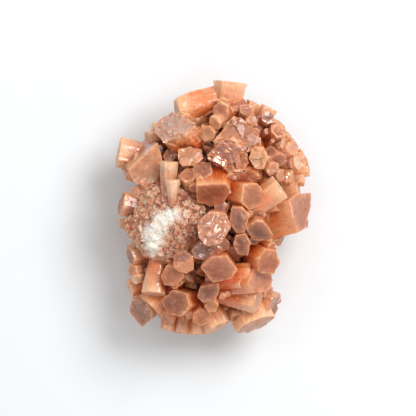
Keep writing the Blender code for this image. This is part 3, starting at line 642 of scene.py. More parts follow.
def waves(points, scale, shift):
    """Soft noise from about -1 to 1 at each point, with waves 1 / scale long."""
    return np.array([noise.noise(Vector(point)) for point in points * np.array(scale) + shift])


def rim_distance(flat, corners):
    """How far points of the end plane lie inside the end's outline."""
    inside = np.full(len(flat), 1e9)
    for start, stop in zip(corners, corners[1:] + corners[:1]):
        edge = (stop - start).normalized()
        inside = np.minimum(inside, (flat - np.array(start)) @ np.array((-edge.y, edge.x)))
    return inside


def facets(points, size, shift):
    """The height of broken facets at each point, from about -1 to 1: a tilted plane for each cell."""
    heights = []
    for point in points / size + shift:
        place = Vector(point)
        seed = noise.voronoi(place)[1][0]
        chips = noise.cell_vector(seed * 91.7)
        slope = (chips - Vector((0.5, 0.5, 0.5))) * 2.4
        heights.append(slope.dot(place - seed) + chips.x - 0.5)
    return np.array(heights)


def weather(shape, corners, look, length, root, shift):
    """Works grooves, ledges, bites, broken facets and a dished end into an upright crystal.

    Gives back what its finish reads: each point's place in the crystal, its distance from the rim and
    whether it lies on the end.
    """
    points = np.array([vertex.co[:] for vertex in shape.verts])
    depth = -points[:, 2]
    flare = 1.0 - (1.0 - root) * np.clip(depth / length, 0.0, 1.0)
    flat = points[:, :2] / flare[:, None]
    inside = rim_distance(flat, corners)
    out = np.linalg.norm(flat, axis=1)
    inwards = -flat / np.maximum(out, 0.01)[:, None]
    on_end = 1.0 - smooth(depth, 0.02, 0.3)
    on_side = 1.0 - smooth(inside, 0.1, 0.7)
    from_rim = np.maximum(inside, 0.0) + depth

    groove = np.abs(waves(points, (0.9, 0.9, 0.05), shift))
    ledge = depth * 0.9 + 1.2 * waves(points, 0.25, shift + 7.0)
    ledge -= np.floor(ledge)
    uneven = waves(points, 0.3, shift + 13.0)
    pull = on_side * (look.ribs * (0.6 - 2.0 * groove) + look.steps * ledge + 0.12 * uneven - PLUMP)

    bite = np.maximum(waves(points, 0.75, shift + 19.0) - 0.18, 0.0)
    near_rim = np.exp(-(from_rim / 0.9) ** 2)
    sink = on_end * (look.dish * smooth(inside, 0.3, 1.6) + 0.06 + 0.06 * waves(points, 0.8, shift + 23.0))
    terrace = smooth(inside + 0.7 * waves(points, 0.45, shift + 29.0), 0.8, 1.05)
    sink += 0.11 * on_end * (terrace if shift % 2 else 1.0 - terrace)
    if look.rough > FACETS_FROM:
        broken = look.rough * (0.5 + facets(points, FACET_SIZE, shift))
        pull += on_side * broken
        sink += on_end * broken
    points[:, :2] += inwards * (pull + 0.9 * look.chips * bite * near_rim)[:, None]
    points[:, 2] -= sink + 1.6 * look.chips * bite * near_rim
    for vertex, point in zip(shape.verts, points):
        vertex.co = point
    place = np.column_stack((flat * flare[:, None], depth))
    return place, np.maximum(inside, 0.0), on_end


def screen(colour):
    """A screen colour as the light that it stands for, with full cover."""
    return [((part / 255.0 + 0.055) / 1.055) ** 2.4 for part in colour] + [1.0]


def set_corners(mesh, name, kind, values):
    """Gives the mesh a value at each corner of its faces, from one value or one for each vertex."""
    corner_vertex = np.empty(len(mesh.loops), np.int32)
    mesh.loops.foreach_get("vertex_index", corner_vertex)
    values = np.asarray(values, np.float32)
    corners = values[corner_vertex] if values.ndim == 2 else np.tile(values, (len(mesh.loops), 1))
    layer = mesh.attributes.new(name, kind, "CORNER")
    layer.data.foreach_set("vector" if kind == "FLOAT_VECTOR" else "color", corners.ravel())


def new_object(collection, name, shape):
    """Turns a shape into an object in the collection."""
    mesh = bpy.data.meshes.new(name)
    shape.to_mesh(mesh)
    shape.free()
    made = bpy.data.objects.new(name, mesh)
    collection.objects.link(made)
    return made


def keep(collection, name, shape, look, place, zone):
    """Puts a finished shape into the collection as an object, with all that its finish reads."""
    mesh = new_object(collection, name, shape).data
    set_corners(mesh, "place", "FLOAT_VECTOR", place)
    set_corners(mesh, "zone", "FLOAT_COLOR", zone)
    set_corners(mesh, "end_tint", "FLOAT_COLOR", screen(ENDS[look.end]))
    set_corners(mesh, "side_tint", "FLOAT_COLOR", screen(BODIES[look.body][0]))
    set_corners(mesh, "root_tint", "FLOAT_COLOR", screen(BODIES[look.body][1]))


def plant(collection, name, shape, stand, look, place, inside, on_end):
    """Carries a finished upright crystal to its place and keeps it, with its sparkle and its own shade."""
    sparkle = np.full(len(place), look.sparkle)
    own = np.full(len(place), (len(collection.objects) * SHADE_STEP) % 1.0)
    bmesh.ops.transform(shape, matrix=stand, verts=shape.verts)
    keep(collection, name, shape, look, place, np.column_stack((inside, on_end, sparkle, own)))


def round_off(shape, edges, offset, segments):
    """Rounds edges of a shape off."""
    bmesh.ops.bevel(
        shape, geom=edges, offset=offset, segments=segments, profile=0.5, affect="EDGES", material=-1,
    )


def add_grown(collection, crystal, made, look, fine_edge=SHOWN_EDGE):
    """One crystal in full detail, in its place."""
    shape, stand = made
    corners = [vertex.co.xy.copy() for vertex in end_face(shape).verts]
    edges = [edge for edge in shape.edges if max(vertex.co.z for vertex in edge.verts) > -NEAR]
    round_off(shape, edges, look.soft, SOFT_SEGMENTS if look.soft > SOFT_FROM else 1)
    refine(shape, ROUGH_EDGE_SHARE * fine_edge if look.rough > ROUGH_FROM else fine_edge)
    shift = NOISE_STEP * len(collection.objects)
    place, inside, on_end = weather(shape, corners, look, crystal.length, crystal.root, shift)
    plant(collection, crystal.name, shape, stand, look, place, inside, on_end)


def add_druse(collection, crystal, made, look):
    """One small crystal with only a few faces, in its place."""
    shape, stand = made
    corners = [vertex.co.xy.copy() for vertex in end_face(shape).verts]
    round_off(shape, end_face(shape).edges[:], DRUSE_EDGE, 1)
    bmesh.ops.poke(shape, faces=[end_face(shape)])
    bmesh.ops.triangulate(shape, faces=shape.faces)
    points = np.array([vertex.co[:] for vertex in shape.verts])
    inside = np.maximum(rim_distance(points[:, :2], corners), 0.0)
    on_end = 1.0 - smooth(-points[:, 2], 0.0, 0.5 * DRUSE_EDGE)
    place = points * np.array((1.0, 1.0, -1.0))
    plant(collection, crystal.name, shape, stand, look, place, inside, on_end)


def satellites(name, tip, aim, across, chance):
    """Small crystals that grow beside a large one, each a little lower than its end."""
    if min(across) < SATELLITE_PARENT or aim[1] < SATELLITE_ABOVE or name in LONERS:
        return
    stand = placing(tip, *aim)
    for number in range(SATELLITES):
        turn = math.radians(chance.uniform(0, 360))
        out = chance.uniform(*SATELLITE_OUT)
        drop = chance.uniform(*SATELLITE_DROP)
        place = (across[0] * out * math.cos(turn), across[1] * out * math.sin(turn), -drop)
        lean = [way + chance.uniform(-1, 1) * SATELLITE_TURN for way in aim]
        width = min(across) * chance.uniform(*SATELLITE_WIDTH)
        size = (width, width * chance.uniform(*FILL_SQUASH))
        roll = chance.uniform(0, 60)
        end = stand @ Vector(place)
        small = Crystal(f"{name}_{number}", end, lean, size, SATELLITE_LENGTH, SATELLITE_ROOT, roll)
        yield small, six_sided(small, chance)


def waist_reach(around):
    """How far a crystal may reach from the middle at the waist, read from WAIST."""
    for (start, near), (end, far) in zip(WAIST, WAIST[1:]):
        if start <= around <= end:
            return near + (far - near) * (around - start) / (end - start)
    raise ValueError(around)


def on_crust(x, y):
    """True over the broken spot, seen from above."""
    across = (x - CRUST_MIDDLE[0]) / CRUST_HALF_SIZE[0]
    along = (y - CRUST_MIDDLE[1]) / CRUST_HALF_SIZE[1]
    return across * across + along * along < 1.0


def fill_crystals(chance):
    """Crystals all around the heart, each aimed away from it. On top they stay below the placed ones."""
    for index in range(FILL_CRYSTALS):
        rise = 1.0 - 2.0 * (index + 0.5) / FILL_CRYSTALS
        around = (index * GOLDEN_ANGLE) % 360.0
        on_top = rise > TOP_RISE
        reach = chance.uniform(*(TOP_REACH if on_top else LOW_REACH))
        flat = math.sqrt(1.0 - rise * rise) * waist_reach(around) * reach
        x, y = flat * math.cos(math.radians(around)), flat * math.sin(math.radians(around))
        height = FILL_MIDDLE_Z + FILL_RISE * rise * reach
        width = chance.uniform(*(TOP_WIDTH if on_top else LOW_WIDTH))
        turn = around + chance.uniform(-FILL_TURN, FILL_TURN)
        lift = math.degrees(math.asin(rise)) + chance.uniform(-FILL_LEAN, FILL_LEAN)
        across = (width, width * chance.uniform(*FILL_SQUASH))
        roll = chance.uniform(0, 60)
        if rise > 0.0 and on_crust(x, y):
            continue
        aim = (turn, max(-STEEPEST, min(STEEPEST, lift)))
        yield Crystal(f"fill_{index:02d}", (x, y, height), aim, across, FILL_LENGTH, FILL_ROOT, roll)


def add_plain(collection, name, shape):
    """The heart or what is cut with it: a shape that has no end of its own."""
    points = np.array([vertex.co[:] for vertex in shape.verts])
    points[:, 2] = HEART_DEPTH
    keep(collection, name, shape, HEART_SHADE_LOOK, points, HEART_ZONE)


def any_way(chance):
    """A unit vector that points any way."""
    return Vector((chance.gauss(0, 1), chance.gauss(0, 1), chance.gauss(0, 1))).normalized()


def druse_crystals():
    """Small crystals that coat the heart, so that the gaps between the large ones are never bare."""
    chance = random.Random(SEED + 1)
    for index in range(DRUSE_CRYSTALS):
        rise = 1.0 - 2.0 * (index + 0.5) / DRUSE_CRYSTALS
        around = math.radians(index * GOLDEN_ANGLE + DRUSE_START)
        flat = math.sqrt(1.0 - rise * rise)
        outward = Vector((flat * math.cos(around), flat * math.sin(around), rise))
        half = CORE_SHARE * Vector(HEART_HALF_SIZE)
        normal = Vector((outward.x / half.x, outward.y / half.y, outward.z / half.z)).normalized()
        tip = Vector(HEART_MIDDLE) + outward * half + normal * chance.uniform(*DRUSE_HEIGHT)
        tilt = any_way(chance)
        aim = (normal + chance.uniform(*DRUSE_LEAN) * tilt).normalized()
        width = chance.uniform(*DRUSE_WIDTH)
        across = (width, width * chance.uniform(*FILL_SQUASH))
        roll = chance.uniform(0, 60)
        druse = Crystal(f"druse_{index:03d}", tip, degrees_of(aim), across, DRUSE_LENGTH, DRUSE_ROOT, roll)
        yield druse, six_sided(druse, chance)


def heart(share):
    """The solid middle that the crystals stand on, at a share of its size."""
    shape = bmesh.new()
    bmesh.ops.create_icosphere(shape, subdivisions=2, radius=1.0)
    bmesh.ops.scale(shape, vec=share * Vector(HEART_HALF_SIZE), verts=shape.verts)
    bmesh.ops.translate(shape, vec=HEART_MIDDLE, verts=shape.verts)
    return shape


def table_cutter():
    """The block below the table top, which takes the lowest ends off flat."""
    shape = bmesh.new()
    bmesh.ops.create_cube(shape, size=CUTTER_SIZE)
    bmesh.ops.translate(shape, vec=(0.0, 0.0, TABLE_TOP - 0.5 * CUTTER_SIZE), verts=shape.verts)
    return shape


def outer_shells(mesh):
    """Keeps the closed surfaces that face outwards, so that sealed gaps are filled. Slivers go too."""
    shape = bmesh.new()
    shape.from_mesh(mesh)
    bmesh.ops.triangulate(shape, faces=shape.faces)
    unseen = set(shape.faces)
    while unseen:
        shell, edge, volume = [], [unseen.pop()], 0.0
        while edge:
            face = edge.pop()
            shell.append(face)
            one, two, three = (vertex.co for vertex in face.verts)
            volume += one.dot(two.cross(three))
            for link in face.edges:
                for other in link.link_faces:
                    if other in unseen:
                        unseen.remove(other)
                        edge.append(other)
        if volume / 6.0 < SLIVER:
            vertices = {vertex for face in shell for vertex in face.verts}
            bmesh.ops.delete(shape, geom=list(vertices), context="VERTS")
    shape.to_mesh(mesh)
    shape.free()


def stay_in_box(mesh):
    """Moves what would stand out of the part's box back onto its walls."""
    points = np.empty(3 * len(mesh.vertices), np.float32)
    mesh.vertices.foreach_get("co", points)
    lowest, highest = (np.array(corner) for corner in CAD_BOX)
    points = np.clip(points.reshape(-1, 3), lowest + WALL_GAP * (lowest < 0.0), highest - WALL_GAP)
    mesh.vertices.foreach_set("co", points.astype(np.float32).ravel())
    mesh.update()


def grown_together(name, core, growth, cutter):
    """Joins a core and all that grows on it into one closed solid that rests flat on the table."""
    union = core.modifiers.new("grown together", "BOOLEAN")
    union.operation = "UNION"
    union.operand_type = "COLLECTION"
    union.collection = growth
    union.solver = "MANIFOLD"
    rest = core.modifiers.new("rests on the table", "BOOLEAN")
    rest.operation = "DIFFERENCE"
    rest.object = cutter
    rest.solver = "MANIFOLD"
    graph = bpy.context.evaluated_depsgraph_get()
    mesh = bpy.data.meshes.new_from_object(core.evaluated_get(graph))
    mesh.name = name
    outer_shells(mesh)
    mesh.transform(Matrix.Scale(MM, 4) @ Matrix.Translation((-MIDDLE[0], -MIDDLE[1], -TABLE_TOP)))
    stay_in_box(mesh)
    mesh.shade_smooth()
    mesh.set_sharp_from_angle(angle=math.radians(SHARP_ANGLE))
    piece = bpy.data.objects.new(name, mesh)
    bpy.context.scene.collection.objects.link(piece)
    return piece


def new_collection(name):
    """An empty collection in the scene."""
    made = bpy.data.collections.new(name)
    bpy.context.scene.collection.children.link(made)
    return made


def clear(collection):
    """Takes a collection and its objects away."""
    for obj in list(collection.objects):
        bpy.data.objects.remove(obj)
    bpy.data.collections.remove(collection)


def crystals(chance):
    """The crystals that the photo shows, in two halves, and the growth between and under them."""
    north, south, fill, workshop = (new_collection(name) for name in ("north", "south", "fill", "workshop"))
    beside = random.Random(SEED + 2)
    for crystal in CRYSTALS:
        look = LOOKS.get(crystal.name, FOOT_LOOK)
        half = north if crystal.tip[1] > HALVES_MEET else south
        add_grown(half, crystal, six_sided(crystal, chance), look)
        for small, made in satellites(crystal.name, crystal.tip, crystal.aim, crystal.across, beside):
            add_druse(half, small, made, look)
    for tablet in TABLETS:
        half = north if tablet.corners[0][1] > HALVES_MEET else south
        add_grown(half, tablet, many_sided(tablet), LOOKS[tablet.name])
        tip, across = tablet_size(tablet)
        for small, made in satellites(tablet.name, tip, tablet.aim, across, beside):
            add_druse(half, small, made, LOOKS[tablet.name])
    for number, crystal in enumerate(fill_crystals(chance)):
        looks = DEEP_SHADE_LOOKS if crystal.aim[1] > DEEP_ABOVE else FILL_LOOKS
        look = looks[number % len(looks)]
        add_grown(fill, crystal, six_sided(crystal, chance), look, FILL_EDGE)
    for number, (crystal, made) in enumerate(druse_crystals()):
        add_druse(fill, crystal, made, DRUSE_SHADE_LOOKS[number % len(DRUSE_SHADE_LOOKS)])
    for name, share in (("heart", 1.0), ("north_heart", NORTH_SHARE), ("south_heart", SOUTH_SHARE)):
        add_plain(workshop, name, heart(CORE_SHARE * share))
    add_plain(workshop, "table_cutter", table_cutter())
    cutter = workshop.objects["table_cutter"]
    pieces = (
        grown_together("north_crystals", workshop.objects["north_heart"], north, cutter),
        grown_together("south_crystals", workshop.objects["south_heart"], south, cutter),
        grown_together("growth_between", workshop.objects["heart"], fill, cutter),
    )
    for collection in (north, south, fill, workshop):
        clear(collection)
    return pieces


def crust_frame():
    """Matrix from the crust bed's own millimetres to the specimen's."""
    return Matrix.Translation(CRUST_MIDDLE) @ Matrix.Rotation(-math.radians(CRUST_LEAN), 4, "Y")


def crust_grains(chance):
    """Small crystals that stand on the broken spot."""
    bed = crust_frame()
    for index in range(CRUST_GRAINS):
        turn = math.radians(index * GOLDEN_ANGLE)
        out = math.sqrt((index + 0.5) / CRUST_GRAINS)
        u, v = CRUST_HALF_SIZE[0] * out * math.cos(turn), CRUST_HALF_SIZE[1] * out * math.sin(turn)
        top = CRUST_HALF_SIZE[2] * math.sqrt(1.0 - out * out) + chance.uniform(*GRAIN_HEIGHT)
        lean = RIM_LEAN * out + chance.uniform(-GRAIN_LEAN, GRAIN_LEAN)
        aim = degrees_of(bed.to_3x3() @ direction(math.degrees(turn), 90.0 - lean))
        width = chance.uniform(*GRAIN_WIDTH)
        across = (width, width * chance.uniform(*GRAIN_SQUASH))
        tip = bed @ Vector((u, v, top))
        roll = chance.uniform(0, 60)
        yield Crystal(f"grain_{index:02d}", tip, aim, across, GRAIN_LENGTH, GRAIN_ROOT, roll)


def rough_lump(middle, half_size, roughness, chance, edge):
    """A rounded solid with uneven points, its surface broken up into rubble."""
    shape = bmesh.new()
    bmesh.ops.create_icosphere(shape, subdivisions=2, radius=1.0)
    for vertex in shape.verts:
        vertex.co *= 1.0 + chance.uniform(-roughness, roughness)
    bmesh.ops.scale(shape, vec=Vector(half_size), verts=shape.verts)
    long_edges = shape.edges[:]
    while long_edges:
        bmesh.ops.subdivide_edges(shape, edges=long_edges, cuts=1)
        bmesh.ops.triangulate(shape, faces=shape.faces)
        long_edges = [one for one in shape.edges if one.calc_length() > edge]
    for _ in range(3):
        bmesh.ops.smooth_vert(
            shape, verts=shape.verts, factor=0.5, use_axis_x=True, use_axis_y=True, use_axis_z=True,
        )
    shape.normal_update()
    for vertex in shape.verts:
        where = vertex.co + Vector(middle)
        lumps = noise.noise(where * 0.9) + 0.6 * noise.noise(where * 2.1) + 0.35 * noise.noise(where * 4.3)
        vertex.co += vertex.normal * RUBBLE * lumps
    bmesh.ops.transform(shape, matrix=crust_frame() @ Matrix.Translation(middle), verts=shape.verts)
    return shape


def keep_crumb(collection, name, shape, tint):
    """Puts a part of the crust into the collection, with the colour that its finish reads.

    The colour turns chalky towards the white middle of the bed, and its alpha says how much.
    """
    back = crust_frame().inverted()
    places = [back @ vertex.co for vertex in shape.verts]
    white = np.array([white_share(place.x, place.y) if place.z > 0.0 else 0.0 for place in places])[:, None]
    tints = (1.0 - white) * np.array(screen(tint)[:3]) + white * np.array(screen(CHALK_TINT)[:3])
    mesh = new_object(collection, name, shape).data
    set_corners(mesh, "crumb_tint", "FLOAT_COLOR", np.column_stack((tints, white)))


def add_crumbs(collection, chance):
    """Small broken bits all over the bed, each set on what lies below it."""
    points, faces = [], []
    for obj in collection.objects:
        first = len(points)
        points += [vertex.co.copy() for vertex in obj.data.vertices]
        faces += [[first + corner for corner in face.vertices] for face in obj.data.polygons]
    ground = BVHTree.FromPolygons(points, faces)
    bed = crust_frame()
    down = -(bed.to_3x3() @ Vector((0.0, 0.0, 1.0)))
    for index in range(CRUMBS):
        turn = math.radians(index * GOLDEN_ANGLE + CRUMB_START)
        out = math.sqrt((index + 0.5) / CRUMBS)
        u, v = CRUST_HALF_SIZE[0] * out * math.cos(turn), CRUST_HALF_SIZE[1] * out * math.sin(turn)
        size = CRUMB_SIZE[0] + (CRUMB_SIZE[1] - CRUMB_SIZE[0]) * chance.random() ** 3
        stretch = [chance.uniform(*limits) for limits in (CRUMB_ACROSS, CRUMB_ACROSS, CRUMB_UPRIGHT)]
        tilt = any_way(chance)
        tint = chance.choice(CRUMB_TINTS if chance.random() > 0.05 * (u + 4.0) else DARK_TINTS)
        hit, normal, _, _ = ground.ray_cast(bed @ Vector((u, v, DROP_HEIGHT)), down)
        on_white = white_share(u, v) > BARE_WHITE and chance.random() < BARE_SHARE
        shape = bmesh.new()
        bmesh.ops.create_cube(shape, size=CRUMB_CUBE)
        for vertex in shape.verts:
            vertex.co *= chance.uniform(*CRUMB_CORNERS)
        if hit is None or on_white:
            shape.free()
            continue
        bmesh.ops.scale(shape, vec=size * Vector(stretch), verts=shape.verts)
        turned = (normal + CRUMB_LEAN * tilt).to_track_quat("Z", "Y").to_matrix().to_4x4()
        stand = Matrix.Translation(hit - CRUMB_SINK * size * normal) @ turned
        bmesh.ops.transform(shape, matrix=stand, verts=shape.verts)
        keep_crumb(collection, f"crumb_{index:03d}", shape, tint)


def white_share(u, v):
    """1 on the white middle of the bed, 0 away from it, with an uneven dusty edge."""
    nearest = min(math.hypot(u - x, v - y) - half for x, y, half in WHITE_LUMPS)
    nearest += 0.9 * noise.noise(Vector((u, v, 0.0)) * 0.8) + 0.5 * noise.noise(Vector((u, v, 9.0)) * 2.0)
    return min(1.0, max(0.0, 0.6 - nearest / WHITE_EDGE)) ** 1.5


def crust(chance):
    """The broken spot with its white middle, its grains and its crumbs."""
    layer, workshop = new_collection("layer"), new_collection("workshop")
    bed = rough_lump((0.0, 0.0, 0.0), CRUST_HALF_SIZE, CRUST_ROUGHNESS, chance, CRUST_EDGE)
    up, back = crust_frame().to_3x3() @ Vector((0.0, 0.0, 1.0)), crust_frame().inverted()
    for vertex in bed.verts:
        place = back @ vertex.co
        if place.z > 1.0:
            vertex.co += WHITE_RISE * white_share(place.x, place.y) * up
    keep_crumb(workshop, "bed", bed, CRUMB_TINTS[0])
    for index, (u, v, half) in enumerate(WHITE_LUMPS):
        middle = (u, v, CRUST_HALF_SIZE[2] - WHITE_SINK)
        size = Vector((half, half, WHITE_FLATNESS * half)) * WHITE_SHARE
        white = rough_lump(middle, size, WHITE_ROUGHNESS, chance, WHITE_MESH_EDGE)
        keep_crumb(layer, f"white_{index}", white, CHALK_TINT)
    for grain in crust_grains(chance):
        shape, stand = six_sided(grain, chance)
        stand = stand @ Matrix.Translation((0.0, 0.0, -GRAIN_SINK))
        bmesh.ops.transform(shape, matrix=stand, verts=shape.verts)
        tint = CRUMB_TINTS[len(layer.objects) % len(CRUMB_TINTS)]
        keep_crumb(layer, grain.name, shape, tint)
    layer.objects.link(workshop.objects["bed"])
    add_crumbs(layer, chance)
    layer.objects.unlink(workshop.objects["bed"])
    keep_crumb(workshop, "table_cutter", table_cutter(), CRUMB_TINTS[0])
    piece = grown_together("crust", workshop.objects["bed"], layer, workshop.objects["table_cutter"])
    clear(layer)
    clear(workshop)
    return piece


class Wire:
    """An output of a material's nodes. Sums, differences and products of wires add Math nodes."""

    def __init__(self, tree, socket=None):
        self.tree = tree
        self.socket = socket

    def node(self, kind, settings, sockets, output=0):
        """Adds a node: first its settings, then a value or a wire for each socket that is named."""
        made = self.tree.nodes.new("ShaderNode" + kind)
        for name, value in settings.items():
            setattr(made, name, value)
        for name, value in sockets.items():
            if isinstance(value, Wire):
                self.tree.links.new(value.socket, made.inputs[name])
            else:
                made.inputs[name].default_value = value
        return Wire(self.tree, made.outputs[output])

    def math(self, operation, first, second=0.0):
        return self.node("Math", {"operation": operation}, {0: first, 1: second})

    def vector(self, operation, second=(0.0, 0.0, 0.0), output=0):
        """Vector maths on this wire and a second place, colour or wire."""
        return self.node("VectorMath", {"operation": operation}, {0: self, 1: second}, output)

    def __add__(self, other):
        return self.math("ADD", self, other)

    def __radd__(self, other):
        return self.math("ADD", other, self)

    def __sub__(self, other):
        return self.math("SUBTRACT", self, other)

    def __rsub__(self, other):
        return self.math("SUBTRACT", other, self)

    def __mul__(self, other):
        return self.math("MULTIPLY", self, other)

    def __rmul__(self, other):
        return self.math("MULTIPLY", other, self)


def passage(wire, start, stop):
    """0 below start and 1 above stop, with a soft passage between them."""
    low, high, turned = (start, stop, False) if start < stop else (stop, start, True)
    sockets = {"Value": wire, "From Min": low, "From Max": high}
    share = wire.node("MapRange", {"interpolation_type": "SMOOTHSTEP"}, sockets)
    return 1.0 - share if turned else share


def mixed(share, first, second):
    """Two colours mixed by a share."""
    return (first if isinstance(first, Wire) else second).node(
        "Mix", {"data_type": "RGBA"}, {"Factor": share, 6: first, 7: second}, 2)


def tinted(colour, share, tint):
    """A colour with a share of a screen colour mixed in."""
    return mixed(share, colour, screen(tint))


def shaded(colour, factor):
    """A colour made lighter or darker by a number that varies."""
    grey = factor.node("CombineXYZ", {}, {"X": factor, "Y": factor, "Z": factor})
    return colour.vector("MULTIPLY", grey)


def noisy(place, stretch, detail=2.0, roughness=0.5):
    """Soft noise from 0 to 1, stretched along each way of a place."""
    spread = place.vector("MULTIPLY", stretch)
    sockets = {"Vector": spread, "Scale": 1.0, "Detail": detail, "Roughness": roughness}
    return place.node("TexNoise", {}, sockets)


def new_finish(name):
    """An empty material and the wire that its nodes start from."""
    material = bpy.data.materials.new(name)
    material.use_nodes = True
    material.node_tree.nodes.clear()
    return material, Wire(material.node_tree)


def attribute(start, name, output="Color"):
    """What the meshes say at each point, by the name that they say it under."""
    return start.node("Attribute", {"attribute_name": name}, {}, output)


def in_millimetres(start):
    """Each point's place in the frame, in millimetres."""
    spot = start.node("TexCoord", {}, {}, "Object")
    return spot.node("VectorMath", {"operation": "SCALE"}, {0: spot, "Scale": 1.0 / MM})


def put_on(start, surface):
    """Ends a material's nodes in its surface."""
    end = start.tree.nodes.new("ShaderNodeOutputMaterial")
    start.tree.links.new(surface.socket, end.inputs["Surface"])


def crystal_finish():
    """Translucent crystal: a dull, slightly cloudy end with a paler rim and a painted rim highlight, and
    striated sides that glow, with a painted highlight near the end and a faint painted glow.
    """
    material, start = new_finish("aragonite crystal")
    spot = attribute(start, "place", "Vector")
    depth = spot.node("SeparateXYZ", {}, {0: spot}, "Z")
    zone = attribute(start, "zone")
    inside = zone.node("SeparateColor", {}, {0: zone}, "Red")
    on_end = zone.node("SeparateColor", {}, {0: zone}, "Green")
    sparkle = zone.node("SeparateColor", {}, {0: zone}, "Blue")
    own = attribute(start, "zone", "Alpha")
    end_tint = attribute(start, "end_tint")
    side_tint = attribute(start, "side_tint")
    root_tint = attribute(start, "root_tint")

    shift = own.node("CombineXYZ", {}, {"X": own * 61.0, "Y": own * 47.0, "Z": own * 53.0})
    place = spot.vector("ADD", shift)
    cloud = noisy(place, (0.5, 0.5, 0.3), 2.0, 0.6)
    blotch = noisy(place, (1.3, 1.3, 1.0), 3.0, 0.6)
    fibre = noisy(place, (2.6, 2.6, 0.22), 3.0, 0.6)
    bands = noisy(place, (0.3, 0.3, 1.9), 2.0)
    grain = noisy(place, (6.0, 6.0, 4.5), 2.0)
    wander = noisy(place, (2.1, 2.1, 2.1), 4.0, 0.6)
    speckle = noisy(place, (3.4, 3.4, 2.4), 4.0, 0.75)

    # Sides: pale near the end, more orange further down, with lengthwise fibres and milky patches, and a
    # painted highlight close to the end.
    deep = passage(depth + 5.0 * (cloud - 0.5) + 3.0 * (bands - 0.5), 0.8, 5.0)
    side = mixed(deep, side_tint, root_tint)
    side = shaded(side, (0.7 + 0.56 * fibre) * (0.72 + 0.48 * blotch))
    haze = passage(cloud + 0.5 * (fibre - 0.5), 0.5, 0.8)
    side = tinted(side, 0.35 * haze, (238, 182, 136))
    across = spot.node("SeparateXYZ", {}, {0: spot}, "X")
    flank = passage(1.2 * (cloud - 0.5) - 0.3 * across, 0.0, 0.9)
    side = tinted(side, 0.4 * flank, (240, 190, 150))
    # Painted highlight: the sides are lightened close to the end, as if light shone through there.
    painted_highlight_near_end = passage(depth + 2.4 * (wander - 0.5), 2.2, 0.1)
    side = tinted(side, 0.55 * painted_highlight_near_end, (252, 212, 176))
    seam = passage(fibre + 0.6 * (cloud - 0.5), 0.66, 0.8)
    side = tinted(side, 0.4 * seam, (254, 222, 190))

    # Ends: cloudy, smoky in the middle, and paler towards an uneven rim, where a painted highlight runs
    # along the edge.
    end = shaded(end_tint, (0.86 + 0.22 * own) * (0.4 + 1.06 * cloud) * (0.5 + 0.92 * blotch))
    side_way = spot.vector("DOT_PRODUCT", (0.16, 0.12, 0.0), "Value")
    half_lit = passage(side_way + 0.6 * (own - 0.5), -0.3, 0.7)
    end = tinted(end, 0.3 * half_lit, (220, 156, 116))
    milky = passage(cloud, 0.5, 0.72) * passage(blotch, 0.45, 0.6)
    end = tinted(end, 0.5 * milky, (244, 198, 162))
    smudge = passage(cloud + 0.4 * (blotch - 0.5), 0.5, 0.72) * passage(inside, 0.4, 1.8)
    end = tinted(end, 0.5 * smudge, (124, 70, 54))
    # Painted highlight along the end's rim: a soft pale band and a thin bright line at the edge.
    from_rim = inside + 1.5 * (wander - 0.5)
    end = tinted(end, 0.3 * passage(from_rim, 1.5, 0.1), (220, 150, 108))
    end = tinted(end, 0.4 * passage(from_rim, 0.35, 0.0), (244, 186, 142))
    vein = passage(wander, 0.6, 0.68) * (0.3 + 0.7 * sparkle)
    end = tinted(end, 0.3 * vein, (150, 76, 50))
    colour = shaded(mixed(on_end, side, end), 0.8 + 0.4 * speckle)
    fleck = passage(grain, 0.66, 0.74)
    colour = tinted(colour, 0.3 * fleck, (252, 226, 200))

    # Painted shade: the colour turns darker red-brown where the growth is close to the heart, in the hollows
    # between the crystals.
    core = [middle - origin for middle, origin in zip(HEART_MIDDLE, (*MIDDLE, TABLE_TOP))]
    from_heart = in_millimetres(start).vector("SUBTRACT", core).vector("DIVIDE", HEART_HALF_SIZE)
    out = from_heart.vector("LENGTH", output="Value")
    painted_hollow_shade = passage(out + 0.12 * (blotch - 0.5), 1.0, 0.88)
    colour = tinted(colour, 0.85 * painted_hollow_shade, (92, 38, 20))
    colour = colour.vector("MULTIPLY", MINERAL_TINT)
    # Painted glow: emission in the mineral's colours, redder in the hollows, standing in for light carried
    # through the crystals.
    painted_glow = tinted(colour, painted_hollow_shade, (168, 62, 26))

    cells = place.node("TexVoronoi", {}, {"Vector": place, "Scale": 1.3}, "Color")
    tilt = cells.vector("SUBTRACT", (0.5, 0.5, 0.5))
    wet = passage(noisy(place, (1.1, 1.1, 0.8)) + 0.34 * sparkle, 0.66, 0.76)
    tilt = shaded(tilt, 0.25 * sparkle + 0.75 * sparkle * wet)
    normal = start.node("NewGeometry", {}, {}, "Normal")
    normal = normal.vector("ADD", tilt).vector("NORMALIZE")
    height = 0.7 * fibre * (1.0 - on_end) + 0.25 * blotch + 0.2 * speckle + 0.1 * grain
    normal = height.node(
        "Bump", {}, {"Height": height, "Strength": 0.8, "Distance": 0.00025, "Normal": normal},
    )

    surface = start.node("BsdfPrincipled", {}, {
        "Base Color": colour,
        "Roughness": 0.42 + 0.25 * (grain - 0.5) - 0.1 * sparkle + 0.3 * painted_hollow_shade,
        "Coat Weight": (0.08 + 0.2 * (1.0 - on_end) + 0.9 * wet * sparkle) * (1.0 - painted_hollow_shade),
        "Coat Roughness": 0.1,
        "Coat IOR": 2.1,
        "IOR": 1.6,
        "Subsurface Weight": 0.5,
        "Subsurface Radius": (1.0, 0.42, 0.16),
        "Subsurface Scale": 0.0016,
        "Emission Color": painted_glow,
        "Emission Strength": PAINTED_GLOW_STRENGTH,
        "Normal": normal,
    })
    put_on(start, surface)
    return material


